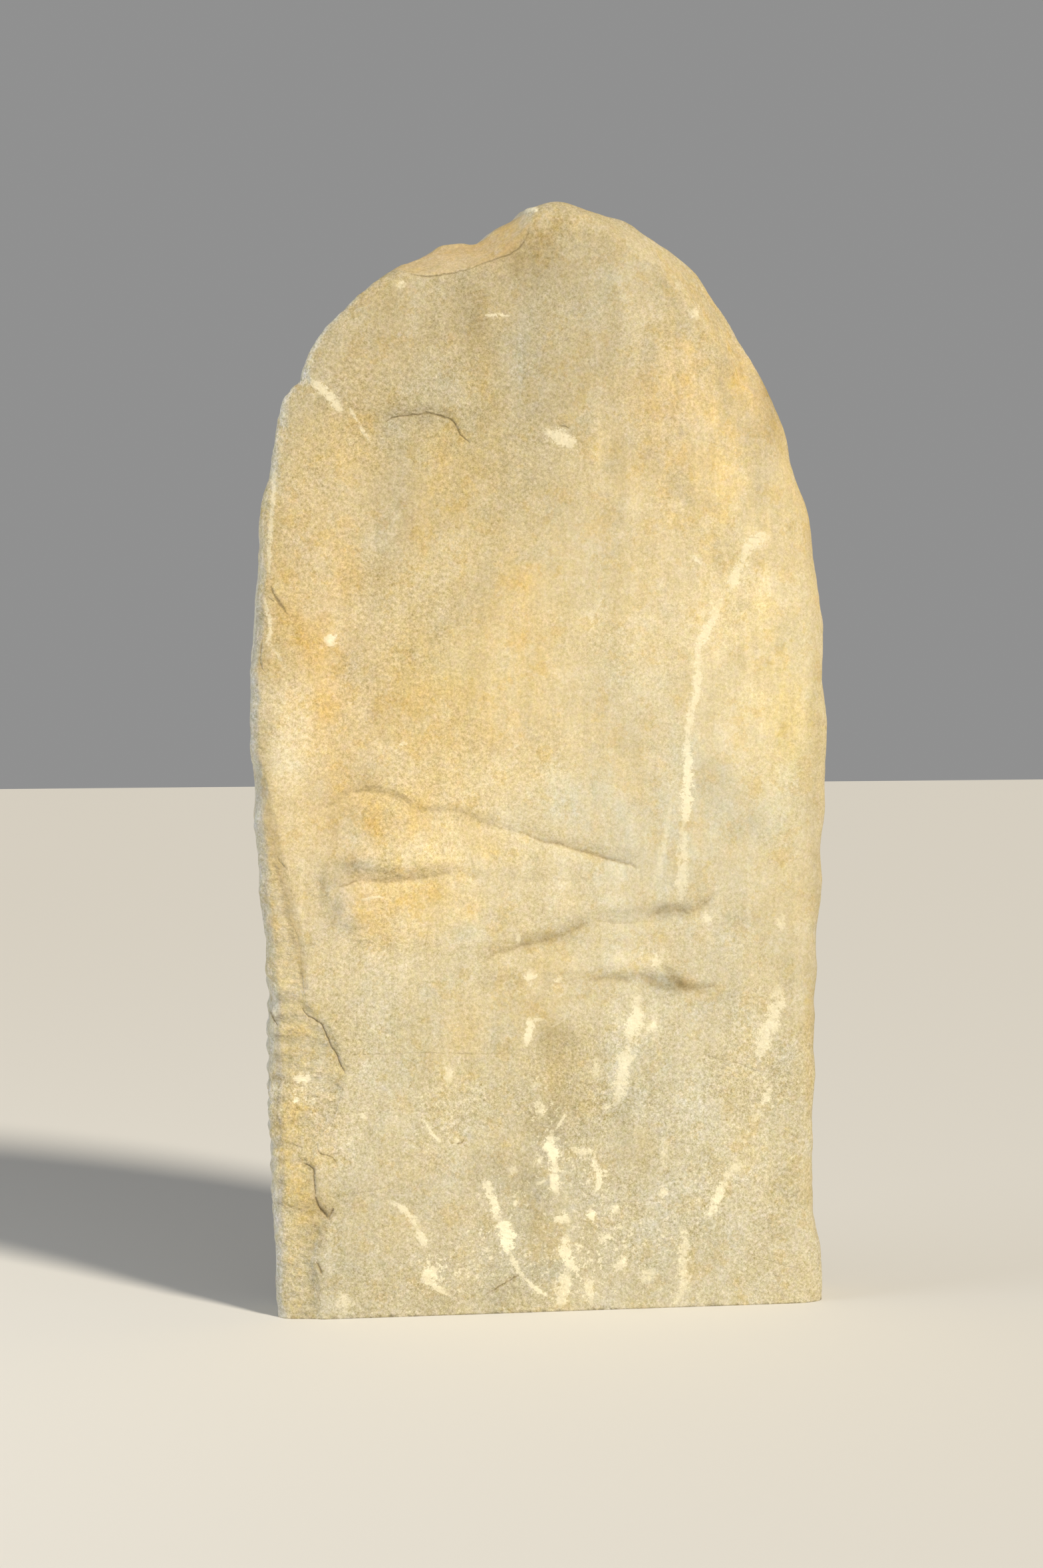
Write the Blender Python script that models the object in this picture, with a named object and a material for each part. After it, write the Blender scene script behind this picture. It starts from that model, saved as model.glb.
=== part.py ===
"""A prehistoric statue stele: one upright slab of pale stone with a low gabled top.

Metres, +Z up, the carved face towards -Y, the origin at the middle of the base. Two daggers lie one
above the other across the face in very low relief, the lower left edge has broken away along a ledge,
and the back and the sides are split and roughly dressed. The stone stood in the ground: here it is
cut off flat at ground level.
"""

import bmesh
import bpy
import numpy as np
from mathutils import Vector, kdtree, noise

# Driving dimensions
THICKNESS = 0.130
BURIED = 0.040  # how far the slab is modelled below the ground, before the cut
SKIN_STEP = 0.004  # spacing of the points that carry the relief
OUTLINE_STEP = 0.003
TRIANGLES = 9200

# The outline as (x, z), where the face ends: up the left edge, over the top and down the right edge
LEFT_EDGE = [
    (-0.320, -BURIED), (-0.322, 0.040), (-0.326, 0.150), (-0.331, 0.300), (-0.334, 0.420),
    (-0.341, 0.520), (-0.347, 0.620), (-0.351, 0.700), (-0.350, 0.780), (-0.345, 0.860),
    (-0.339, 0.950), (-0.329, 1.005), (-0.317, 1.062), (-0.307, 1.093),
]
CROWN = [
    (-0.297, 1.108), (-0.288, 1.127), (-0.271, 1.158), (-0.247, 1.190), (-0.223, 1.218),
    (-0.199, 1.241), (-0.172, 1.260), (-0.140, 1.275), (-0.116, 1.289), (-0.098, 1.290),
    (-0.080, 1.288), (-0.057, 1.306), (-0.032, 1.322), (-0.009, 1.337), (0.016, 1.341),
    (0.060, 1.330), (0.098, 1.318), (0.125, 1.299), (0.160, 1.279), (0.187, 1.256),
    (0.211, 1.224), (0.236, 1.185), (0.260, 1.140),
]
RIGHT_EDGE = [
    (0.284, 1.096), (0.300, 1.065), (0.307, 1.034), (0.317, 1.001), (0.328, 0.968),
    (0.335, 0.920), (0.344, 0.856), (0.349, 0.800), (0.352, 0.700), (0.350, 0.610),
    (0.346, 0.520), (0.342, 0.430), (0.338, 0.340), (0.336, 0.240), (0.336, 0.150),
    (0.341, 0.090), (0.347, 0.040), (0.347, -BURIED),
]

# Rounding and wear draw the rim in, so the stone is cut this much wider to end where it should
LEFT_SPARE = 0.0028
RIGHT_SPARE = 0.0032
HEAD_SPARE = 0.0065
PEAK_SPARE = 0.0045
PEAK_REACH = (-0.05, 0.09)
HEAD_FROM = 1.0
HEAD_FADE = 0.15

# How the front arrises are rounded: (height, across the face, into the depth)
LEFT_ARRIS = [
    (0.00, 0.014, 0.016), (0.45, 0.016, 0.020), (0.80, 0.014, 0.016), (1.10, 0.030, 0.026),
    (1.30, 0.022, 0.022),
]
RIGHT_ARRIS = [
    (0.00, 0.038, 0.030), (0.60, 0.046, 0.036), (1.00, 0.056, 0.040), (1.20, 0.070, 0.034),
    (1.30, 0.040, 0.026),
]
# Over the peak: where the left arris starts to turn into the right, and over what width
ARRIS_CHANGE = (-0.03, 0.12)
BACK_ARRIS = (0.022, 0.024)  # the same all round

# Scars of the flakes struck off each edge: (height, half length, depth)
LEFT_SCARS = [
    (0.905, 0.051, 0.0030), (0.830, 0.054, 0.0040), (0.725, 0.051, 0.0035), (0.638, 0.051, 0.0040),
    (0.557, 0.048, 0.0035), (0.457, 0.051, 0.0045), (0.385, 0.039, 0.0050), (1.030, 0.045, 0.0015),
]
RIGHT_SCARS = [
    (1.030, 0.045, 0.0040), (0.886, 0.060, 0.0025), (0.765, 0.051, 0.0045), (0.672, 0.039, 0.0025),
    (0.560, 0.051, 0.0045), (0.452, 0.042, 0.0040), (0.375, 0.045, 0.0040), (0.325, 0.027, 0.0020),
    (0.240, 0.045, 0.0025), (0.175, 0.027, 0.0020), (0.105, 0.036, 0.0030),
]
SCARRED_BEYOND = 0.2  # the scars lie on the edges this far out to either side
SCAR_REACH = 0.07  # how far in over the face a scar fades out
SCAR_WIDTH = 0.13  # half its size through the thickness
SCAR_STAGGER = 0.03  # how far the scars' middles wander to and fro through the thickness

# Roughness of the split surfaces: (height of the lumps, their size)
SIDE_LUMPS = (0.0018, 0.05)
FACE_LUMPS = (0.0016, 0.16)
BACK_LUMPS = (0.0040, 0.14)
SIDE_LUMPS_REACH = 0.05  # how far in over the face the sides' roughness fades out
BACK_SEED = 7.0  # moves the back's lumps to another part of the noise

# The broken lower left edge: the ledge it broke along, and how the surface falls away beyond it
LEDGE = [
    (-0.352, 0.700), (-0.338, 0.610), (-0.328, 0.550), (-0.317, 0.500), (-0.307, 0.455),
    (-0.299, 0.410), (-0.290, 0.367), (-0.270, 0.345), (-0.258, 0.318), (-0.250, 0.297),
    (-0.254, 0.259), (-0.277, 0.218), (-0.291, 0.187), (-0.288, 0.148), (-0.270, 0.124),
    (-0.280, 0.100), (-0.286, 0.070), (-0.281, 0.040), (-0.277, -BURIED),
]
LEDGE_STEP = 0.0038
LEDGE_WIDTH = 0.006
LEDGE_SLOPE = 0.21

# The top has spalled away to either side of the peak: the line where each break starts, and its slope
LEFT_SPALL = [
    (-0.205, 1.256), (-0.150, 1.253), (-0.100, 1.261), (-0.067, 1.274), (-0.034, 1.307),
    (-0.016, 1.331),
]
LEFT_SPALL_SLOPE = 1.25
LEFT_SPALL_FADE = 0.02
RIGHT_SPALL = [
    (0.020, 1.336), (0.065, 1.312), (0.110, 1.284), (0.160, 1.238), (0.205, 1.180),
    (0.240, 1.115),
]
RIGHT_SPALL_SLOPE = 0.45
RIGHT_SPALL_FADE = 0.03

# Pecked lines of the two daggers: (points, half width, depths along the line)
PECKED = {
    "upper dagger, upper edge": (
        [(-0.275, 0.616), (-0.236, 0.636), (-0.200, 0.631), (-0.165, 0.611), (-0.110, 0.602),
         (-0.060, 0.591), (0.000, 0.572), (0.050, 0.560), (0.118, 0.536)],
        0.014, (0.0000, 0.0030, 0.0026, 0.0024, 0.0026, 0.0036, 0.0034, 0.0000)),
    "upper dagger, lower edge": (
        [(-0.290, 0.505), (-0.255, 0.522), (-0.230, 0.532), (-0.180, 0.530), (-0.120, 0.536),
         (-0.060, 0.527), (0.000, 0.527), (0.100, 0.527)],
        0.016, (0.0000, 0.0036, 0.0046, 0.0024, 0.0008, 0.0008, 0.0006, 0.0000)),
    "lower dagger, upper edge": (
        [(-0.108, 0.421), (-0.060, 0.437), (0.000, 0.455), (0.050, 0.472), (0.100, 0.475),
         (0.155, 0.484), (0.210, 0.494)],
        0.018, (0.0000, 0.0038, 0.0040, 0.0034, 0.0026, 0.0034, 0.0032, 0.0000)),
    "lower dagger, lower edge": (
        [(-0.125, 0.403), (-0.070, 0.399), (0.000, 0.403), (0.060, 0.405), (0.120, 0.402),
         (0.160, 0.391), (0.215, 0.392)],
        0.015, (0.0000, 0.0014, 0.0010, 0.0018, 0.0020, 0.0044, 0.0034, 0.0000)),
    "pommel, lower end": (
        [(-0.264, 0.458), (-0.236, 0.448), (-0.205, 0.446), (-0.180, 0.436), (-0.142, 0.444)],
        0.013, (0.0000, 0.0016, 0.0012, 0.0018, 0.0000)),
}

# What stands proud between those lines: (points, half width, height)
RAISED = {
    "upper dagger, midrib": ([(-0.235, 0.556), (-0.160, 0.558), (-0.080, 0.556)], 0.030, 0.0026),
    "upper dagger, blade": ([(-0.200, 0.575), (-0.060, 0.562), (0.060, 0.541)], 0.036, 0.0012),
    "lower dagger, blade": ([(-0.060, 0.420), (0.060, 0.436), (0.170, 0.440)], 0.038, 0.0016),
}

# Open cracks: (points, half width, depth)
CRACKS = [
    ([(-0.300, 0.376), (-0.276, 0.357), (-0.262, 0.326), (-0.249, 0.297)], 0.006, 0.0040),
    ([(-0.300, 0.187), (-0.290, 0.182), (-0.286, 0.152), (-0.272, 0.125), (-0.263, 0.129)], 0.006, 0.0045),
    ([(-0.192, 1.079), (-0.150, 1.091), (-0.125, 1.084), (-0.104, 1.058)], 0.006, 0.0030),
]

# Scoops on the face and the broad flake scars of the back: (x, z, half width, half height, depth)
FACE_SCOOPS = [
    (0.297, 1.066, 0.026, 0.050, 0.0060), (0.000, 0.990, 0.160, 0.120, 0.0020),
    (0.180, 0.800, 0.120, 0.160, 0.0015), (-0.120, 0.280, 0.130, 0.070, 0.0015),
    (0.120, 0.200, 0.120, 0.110, 0.0018), (0.330, 0.605, 0.020, 0.050, 0.0050),
    (0.322, 0.720, 0.018, 0.040, 0.0030), (0.318, 0.500, 0.020, 0.045, 0.0035),
]
BACK_SCARS = [
    (-0.200, 1.080, 0.150, 0.130, 0.0110), (0.070, 1.180, 0.170, 0.120, 0.0140),
    (0.230, 0.960, 0.150, 0.150, 0.0100), (-0.080, 0.860, 0.190, 0.150, 0.0080),
    (-0.290, 0.700, 0.110, 0.140, 0.0120), (0.150, 0.660, 0.180, 0.140, 0.0110),
    (-0.110, 0.520, 0.160, 0.130, 0.0090), (0.310, 0.440, 0.110, 0.150, 0.0120),
    (0.060, 0.330, 0.170, 0.130, 0.0100), (-0.270, 0.280, 0.130, 0.160, 0.0130),
    (0.210, 0.130, 0.160, 0.110, 0.0090), (-0.090, 0.090, 0.150, 0.110, 0.0070),
]

SHORTEST_RIM = 0.0003  # edges shorter than this are closed up along the cut at the ground

STONE_COLOUR = (0.55, 0.45, 0.27, 1.0)
STONE_ROUGHNESS = 0.9


def clear_scene():
    for obj in list(bpy.data.objects):
        bpy.data.objects.remove(obj, do_unlink=True)


def with_spare(points):
    """The outline moved outwards by the spare width, more round the head, to the nearest millimetre."""
    points = np.array(points)
    along = np.gradient(points, axis=0)
    outwards = np.column_stack([-along[:, 1], along[:, 0]])
    outwards /= np.linalg.norm(outwards, axis=1)[:, None]
    x, z = points.T
    side = np.where(x < 0, LEFT_SPARE, RIGHT_SPARE)
    head = np.where((x >= PEAK_REACH[0]) & (x < PEAK_REACH[1]), PEAK_SPARE, HEAD_SPARE)
    share = np.clip((z - HEAD_FROM) / HEAD_FADE, 0, 1)
    wider = points + outwards * (side + (head - side) * share)[:, None]
    wider[[0, -1], 1] = -BURIED
    return [tuple(point) for point in np.round(wider, 3).tolist()]


def smooth_curve(points, step):
    """Points about one step apart on a curve through the given ones."""
    knots = np.array(points, float)
    knots = np.vstack([2 * knots[0] - knots[1], knots, 2 * knots[-1] - knots[-2]])
    runs = []
    for before, start, end, after in zip(knots, knots[1:], knots[2:], knots[3:]):
        span = np.linalg.norm(end - start)
        # Tangents are scaled to each span, so that short spans beside long ones don't overshoot.
        leave = (end - before) * span / (span + np.linalg.norm(start - before))
        arrive = (after - start) * span / (span + np.linalg.norm(after - end))
        count = max(1, round(span / step))
        t = (np.arange(count) / count)[:, None]
        runs.append(
            (2 * t**3 - 3 * t**2 + 1) * start + (t**3 - 2 * t**2 + t) * leave
            + (3 * t**2 - 2 * t**3) * end + (t**3 - t**2) * arrive
        )
    return np.vstack([*runs, knots[-2:-1]])


def beside(path, x, z):
    """Each point's distance to a path on the face, and how far along the path, 0 to 1, it is nearest."""
    path = np.array(path, float)
    lengths = np.linalg.norm(np.diff(path, axis=0), axis=1)
    starts = np.concatenate([[0.0], np.cumsum(lengths)])
    distance = np.full(x.shape, np.inf)
    along = np.zeros(x.shape)
    for (ax, az), (bx, bz), start, length in zip(path, path[1:], starts, lengths):
        t = np.clip(((x - ax) * (bx - ax) + (z - az) * (bz - az)) / length**2, 0, 1)
        here = np.hypot(x - ax - t * (bx - ax), z - az - t * (bz - az))
        nearer = here < distance
        distance = np.where(nearer, here, distance)
        along = np.where(nearer, (start + t * length) / starts[-1], along)
    return distance, along


def falloff(t):
    """1 in the middle, 0 from 1 outwards, with no crease at either end."""
    return np.clip(1 - t**2, 0, 1) ** 2


def ramp(t):
    t = np.clip(t, 0, 1)
    return t * t * (3 - 2 * t)


def lumps(points, roughness, octaves=3):
    """Smooth noise between about 0 and twice the given height, with lumps of the given size."""
    height, size = roughness
    return height * np.array([1 + noise.fractal(Vector(p) / size, 1.0, 2.0, octaves) for p in points])


def slab_mesh(outline):
    """The outline as a flat plate of the stone's thickness."""
    bm = bmesh.new()
    corners = [bm.verts.new((x, -THICKNESS / 2, z)) for x, z in outline]
    face = bm.faces.new(corners)
    extruded = bmesh.ops.extrude_face_region(bm, geom=[face])
    moved = [v for v in extruded["geom"] if isinstance(v, bmesh.types.BMVert)]
    bmesh.ops.translate(bm, verts=moved, vec=(0, THICKNESS, 0))
    bmesh.ops.recalc_face_normals(bm, faces=bm.faces)
    mesh = bpy.data.meshes.new("slab")
    bm.to_mesh(mesh)
    bm.free()
    return mesh


def evaluated(obj, kind, **settings):
    """A new mesh: this object's after one modifier."""
    modifier = obj.modifiers.new(kind.lower(), kind)
    for name, value in settings.items():
        setattr(modifier, name, value)
    bpy.context.view_layer.update()
    graph = bpy.context.evaluated_depsgraph_get()
    mesh = bpy.data.meshes.new_from_object(obj.evaluated_get(graph))
    obj.modifiers.remove(modifier)
    return mesh


def edge_frame(outline, points):
    """For each point: the nearest place on the outline, the way in from there, and the distance in."""
    tangent = np.gradient(outline, axis=0)
    inward = np.stack([tangent[:, 1], -tangent[:, 0]], axis=1)
    inward /= np.linalg.norm(inward, axis=1)[:, None]
    tree = kdtree.KDTree(len(outline))
    for i, (x, z) in enumerate(outline):
        tree.insert((x, 0, z), i)
    tree.balance()
    nearest = np.array([tree.find((x, 0, z))[1] for x, _, z in points])
    place, way = outline[nearest], inward[nearest]
    depth = ((points[:, [0, 2]] - place) * way).sum(axis=1)
    return place, way, np.clip(depth, 0, None)


def round_arris(depth, level, across, deep):
    """Turns the square corner between face and side into a quarter of an ellipse."""
    u = np.clip(1 - depth / across, 0, 1)
    v = np.clip(1 - level / deep, 0, 1)
    inside = (u > 0) & (v > 0)
    scale = np.where(inside, np.maximum(u, v) / np.maximum(np.hypot(u, v), 1e-9), 1.0)
    new_depth = np.where(inside, across * (1 - u * scale), depth)
    new_level = np.where(inside, deep * (1 - v * scale), level)
    return new_depth, new_level


def round_edges(points, outline):
    place, way, depth = edge_frame(outline, points)
    start, width = ARRIS_CHANGE
    rightness = ramp((place[:, 0] - start) / width)
    left = [np.interp(place[:, 1], *np.array(LEFT_ARRIS)[:, [0, k]].T) for k in (1, 2)]
    right = [np.interp(place[:, 1], *np.array(RIGHT_ARRIS)[:, [0, k]].T) for k in (1, 2)]
    across, deep = [a + (b - a) * rightness for a, b in zip(left, right)]
    y = points[:, 1]
    front_depth, front_level = round_arris(depth, y + THICKNESS / 2, across, deep)
    back_depth, back_level = round_arris(depth, THICKNESS / 2 - y, *BACK_ARRIS)
    new_depth = np.where(y < 0, front_depth, back_depth)
    new_y = np.where(y < 0, front_level - THICKNESS / 2, THICKNESS / 2 - back_level)
    points[:, [0, 2]] += way * (new_depth - depth)[:, None]
    points[:, 1] = new_y
    return place, way, new_depth


def scar_edges(points, place, way, depth):
    """Pushes the edges in where flakes were struck off, and roughens the sides."""
    push = lumps(points, SIDE_LUMPS) * (1 - ramp(depth / SIDE_LUMPS_REACH))
    for side, scars in ((-1, LEFT_SCARS), (1, RIGHT_SCARS)):
        near = (place[:, 0] * side > SCARRED_BEYOND) * (1 - ramp(depth / SCAR_REACH))
        for number, (height, half_length, bite) in enumerate(scars):
            middle = SCAR_STAGGER * np.sin(2.4 * number) * side
            across = falloff((points[:, 1] - middle) / SCAR_WIDTH)
            push += bite * near * across * falloff((points[:, 2] - height) / half_length)
    points[:, [0, 2]] += way * push[:, None]


def scoops(entries, x, z):
    return sum(d * falloff(np.hypot((x - cx) / w, (z - cz) / h)) for cx, cz, w, h, d in entries)


def beyond(line, x, z, fade):
    """How far above a break line each point is, fading to nothing past the line's ends."""
    line = np.array(line)
    height = np.clip(z - np.interp(x, line[:, 0], line[:, 1]), 0, None)
    return height * ramp((x - line[0, 0] + fade) / fade) * ramp((line[-1, 0] + fade - x) / fade)


def face_relief(points):
    """How deep the carved face lies at each point, in metres behind the plane of the slab."""
    x, z = points[:, 0], points[:, 2]
    relief = lumps(points, FACE_LUMPS, 2) + scoops(FACE_SCOOPS, x, z)
    for line, half_width, depths in PECKED.values():
        distance, along = beside(line, x, z)
        depth = np.interp(along, np.linspace(0, 1, len(depths)), depths)
        relief += depth * falloff(distance / half_width)
    for line, half_width, height in RAISED.values():
        relief -= height * falloff(beside(line, x, z)[0] / half_width)
    for line, half_width, depth in CRACKS:
        relief += depth * falloff(beside(line, x, z)[0] / half_width)
    ledge = np.array(LEDGE)[::-1]
    outside = np.interp(z, ledge[:, 1], ledge[:, 0]) - x
    broken = LEDGE_STEP * ramp(outside / LEDGE_WIDTH) + LEDGE_SLOPE * np.clip(outside, 0, None)
    relief += np.where(z < ledge[-1, 1], broken, 0)
    relief += LEFT_SPALL_SLOPE * beyond(LEFT_SPALL, x, z, LEFT_SPALL_FADE)
    relief += RIGHT_SPALL_SLOPE * beyond(RIGHT_SPALL, x, z, RIGHT_SPALL_FADE)
    return relief


def back_relief(points):
    return lumps(points + BACK_SEED, BACK_LUMPS) + scoops(BACK_SCARS, points[:, 0], points[:, 2])


def dress(points, outline):
    """Turns the points of the plate into those of the dressed and weathered stone."""
    place, way, depth = round_edges(points, outline)
    front = ramp(-points[:, 1] / (THICKNESS / 2))
    back = ramp(points[:, 1] / (THICKNESS / 2))
    sink = front * face_relief(points) - back * back_relief(points)
    scar_edges(points, place, way, depth)
    points[:, 1] += sink
    return points


def cut_at_ground(mesh):
    """Cuts the stone off flat at z = 0 and closes the cut."""
    bm = bmesh.new()
    bm.from_mesh(mesh)
    everything = bm.verts[:] + bm.edges[:] + bm.faces[:]
    ground = dict(plane_co=(0, 0, 0), plane_no=(0, 0, 1))
    bmesh.ops.bisect_plane(bm, geom=everything, clear_inner=True, **ground)
    bmesh.ops.dissolve_degenerate(bm, edges=bm.edges, dist=SHORTEST_RIM)
    rim = [edge for edge in bm.edges if edge.is_boundary]
    for edge in rim:
        for vert in edge.verts:
            vert.co.z = 0
    base = bmesh.ops.edgeloop_fill(bm, edges=rim)["faces"]
    bmesh.ops.triangulate(bm, faces=base)
    bmesh.ops.recalc_face_normals(bm, faces=bm.faces)
    bm.to_mesh(mesh)
    bm.free()


def centre_on_base(mesh):
    """Moves the stone so that the middle of its box is on the Z axis."""
    corners = np.array([v.co for v in mesh.vertices])
    middle = (corners.min(axis=0) + corners.max(axis=0)) / 2
    mesh.vertices.foreach_set("co", (corners - (middle[0], middle[1], 0)).ravel())
    mesh.update()


def stone_material():
    material = bpy.data.materials.new("pale sandstone")
    material.use_nodes = True
    shader = material.node_tree.nodes["Principled BSDF"]
    shader.inputs["Base Color"].default_value = STONE_COLOUR
    shader.inputs["Roughness"].default_value = STONE_ROUGHNESS
    shader.inputs["Metallic"].default_value = 0.0
    return material


def make_stele():
    outline = smooth_curve(with_spare(LEFT_EDGE + CROWN + RIGHT_EDGE), OUTLINE_STEP)
    stele = bpy.data.objects.new("stele", slab_mesh(outline))
    bpy.context.scene.collection.objects.link(stele)
    stele.data = evaluated(stele, "REMESH", mode="VOXEL", voxel_size=SKIN_STEP)
    points = np.array([v.co for v in stele.data.vertices])
    stele.data.vertices.foreach_set("co", dress(points, outline).ravel())
    stele.data.update()
    triangles = 2 * len(stele.data.polygons)
    stele.data = evaluated(stele, "DECIMATE", ratio=TRIANGLES / triangles)
    cut_at_ground(stele.data)
    centre_on_base(stele.data)
    stele.data.materials.append(stone_material())
    stele.data.name = "stele"
    return stele


clear_scene()
make_stele()
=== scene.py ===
# %% [markdown]
# # A prehistoric statue stele and its weathered skin
# The real thing is a single slab of pale, fine-grained stone, 1.34 m tall, that stood in the ground. Two
# daggers cross its face in very low relief, and thousands of years of weather have stained it. The packed
# construction model already has its outline, its broken edge and the daggers. This lesson gives that model
# its skin: first the small relief, as real geometry, and then the colours, as one material whose stains
# and marks lie where they lie on the stone. Sizes are in metres, and the carved face looks towards -Y.

import math

import bmesh
import bpy
import numpy as np
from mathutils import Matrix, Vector
from mathutils.kdtree import KDTree


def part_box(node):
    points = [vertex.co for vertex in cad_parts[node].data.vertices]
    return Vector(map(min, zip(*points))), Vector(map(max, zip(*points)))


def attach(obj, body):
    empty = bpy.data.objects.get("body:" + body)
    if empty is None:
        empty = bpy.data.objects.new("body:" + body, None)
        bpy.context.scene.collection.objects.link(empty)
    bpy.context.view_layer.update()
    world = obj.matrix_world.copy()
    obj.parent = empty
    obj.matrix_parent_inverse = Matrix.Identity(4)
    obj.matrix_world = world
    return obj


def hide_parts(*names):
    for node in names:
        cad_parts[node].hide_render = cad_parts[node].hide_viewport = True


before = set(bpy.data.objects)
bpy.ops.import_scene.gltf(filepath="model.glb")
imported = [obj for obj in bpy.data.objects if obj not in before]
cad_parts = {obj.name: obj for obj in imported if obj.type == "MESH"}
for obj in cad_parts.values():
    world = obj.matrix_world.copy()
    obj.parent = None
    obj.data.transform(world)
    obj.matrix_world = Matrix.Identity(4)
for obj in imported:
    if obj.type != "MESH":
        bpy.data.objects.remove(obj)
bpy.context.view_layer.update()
low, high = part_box("stele")
print("the stone is", [round(side, 3) for side in high - low], "m")

# %% [markdown]
# ## Where one stands to look at it
# The visitor stands four and a half metres away, a little to the left of the middle, and looks slightly
# down along a short telephoto lens, so the stone shows its whole face and a narrow strip of its left side.
# The camera comes first, because every judgement about the skin is made through it.

# %% Camera
LENS = 85
VISITOR = (-0.8095, -4.4516, 0.8767)
LOOKS_DOWN = 3
LOOKS_ASIDE = 10

scene = bpy.context.scene
camera = bpy.data.objects.new("visitor", bpy.data.cameras.new("visitor"))
camera.data.lens = LENS
camera.location = VISITOR
camera.rotation_euler = (math.radians(90 - LOOKS_DOWN), 0, math.radians(-LOOKS_ASIDE))
scene.collection.objects.link(camera)
scene.camera = camera

# %% [markdown]
# ## Writing node trees as expressions
# Both the relief and the colours are node trees, and long node trees are hard to read when every node
# is placed by hand. A wire stands for one output of a node. Maths on wires adds the Math nodes, in
# geometry trees and shader trees alike, and anything else comes from the one function `node`.


# %% Wires and nodes
class Wire:
    """One output of a node, with operators that add Math or Vector Math nodes after it."""

    def __init__(self, tree, socket):
        self.tree = tree
        self.socket = socket

    def __getitem__(self, name):
        return Wire(self.tree, find_socket(self.socket.node.outputs, name))

    def maths(self, operation, a, b):
        kinds = [v.socket.type if isinstance(v, Wire) else type(v) for v in (a, b)]
        several = any(kind in ("VECTOR", "RGBA", tuple) for kind in kinds)
        kind = "ShaderNodeVectorMath" if several else "ShaderNodeMath"
        return node(self.tree, kind, {"operation": operation}, {0: a, 1: b})

    def __add__(self, other):
        return self.maths("ADD", self, other)

    def __radd__(self, other):
        return self.maths("ADD", other, self)

    def __sub__(self, other):
        return self.maths("SUBTRACT", self, other)

    def __rsub__(self, other):
        return self.maths("SUBTRACT", other, self)

    def __mul__(self, other):
        return self.maths("MULTIPLY", self, other)

    def __rmul__(self, other):
        return self.maths("MULTIPLY", other, self)

    def __truediv__(self, other):
        return self.maths("DIVIDE", self, other)

    def __abs__(self):
        return self.maths("ABSOLUTE", self, 0)


def find_socket(sockets, name):
    """A socket by its number, its identifier or its name."""
    if isinstance(name, int):
        return sockets[name]
    by_identifier = [s for s in sockets if s.identifier == name]
    by_name = [s for s in sockets if s.name == name and s.enabled]
    return (by_identifier + by_name)[0]


def node(tree, kind, settings=None, sockets=None):
    """Adds a node: its settings first, then the values or links of its sockets. Gives its first output."""
    made = tree.nodes.new(kind)
    for name, value in (settings or {}).items():
        setattr(made, name, value)
    for name, value in (sockets or {}).items():
        socket = find_socket(made.inputs, name)
        if isinstance(value, Wire):
            tree.links.new(value.socket, socket)
        elif socket.type == "VECTOR" and isinstance(value, (int, float)):
            socket.default_value = (value, value, value)
        else:
            socket.default_value = value
    outputs = [s for s in made.outputs if s.enabled]
    return Wire(tree, outputs[0]) if outputs else None


def noise(place, size, detail=2.0, roughness=0.5):
    """Smooth noise, 0 to 1, whose lumps are about the given size."""
    sockets = {"Vector": place, "Scale": 0.5 / size, "Detail": detail, "Roughness": roughness}
    return node(place.tree, "ShaderNodeTexNoise", sockets=sockets)


def rise(value, start, end, low=0.0, high=1.0):
    """Goes smoothly from low to high while the value goes from start to end."""
    sockets = {"Value": value, "From Min": start, "From Max": end, "To Min": low, "To Max": high}
    return node(value.tree, "ShaderNodeMapRange", {"interpolation_type": "SMOOTHSTEP"}, sockets)


def length(vector):
    return node(vector.tree, "ShaderNodeVectorMath", {"operation": "LENGTH"}, {0: vector})["Value"]


def dot(a, b):
    return node(a.tree, "ShaderNodeVectorMath", {"operation": "DOT_PRODUCT"}, {0: a, 1: b})["Value"]


def parts_of(vector):
    split = node(vector.tree, "ShaderNodeSeparateXYZ", sockets={"Vector": vector})
    return split["X"], split["Y"], split["Z"]


def vector_of(tree, x, y, z):
    return node(tree, "ShaderNodeCombineXYZ", sockets={"X": x, "Y": y, "Z": z})


# %% Geometry trees
def start_tree(name, inputs):
    """A Geometry Nodes tree with one named input for each size or guide: the tree and its inputs."""
    tree = bpy.data.node_groups.new(name, "GeometryNodeTree")
    tree.interface.new_socket("Geometry", in_out="OUTPUT", socket_type="NodeSocketGeometry")
    tree.interface.new_socket("Geometry", in_out="INPUT", socket_type="NodeSocketGeometry")
    for label, value in inputs.items():
        kind = "NodeSocketObject" if isinstance(value, bpy.types.Object) else "NodeSocketFloat"
        tree.interface.new_socket(label, in_out="INPUT", socket_type=kind)
    outputs = tree.nodes.new("NodeGroupInput").outputs
    return tree, {s.name: Wire(tree, s) for s in outputs if s.name}


def finish_tree(geometry, material):
    tree = geometry.tree
    real = node(tree, "GeometryNodeRealizeInstances", sockets={"Geometry": geometry})
    dressed = node(tree, "GeometryNodeSetMaterial", sockets={"Geometry": real, "Material": material})
    end = tree.nodes.new("NodeGroupOutput")
    tree.links.new(dressed.socket, end.inputs[0])


def keep_result(obj):
    """Replaces the object's mesh by what its modifiers make of it, and removes them."""
    bpy.context.view_layer.update()
    graph = bpy.context.evaluated_depsgraph_get()
    before = obj.data
    obj.data = bpy.data.meshes.new_from_object(
        obj.evaluated_get(graph), preserve_all_data_layers=True, depsgraph=graph
    )
    obj.modifiers.clear()
    bpy.data.meshes.remove(before)


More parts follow.
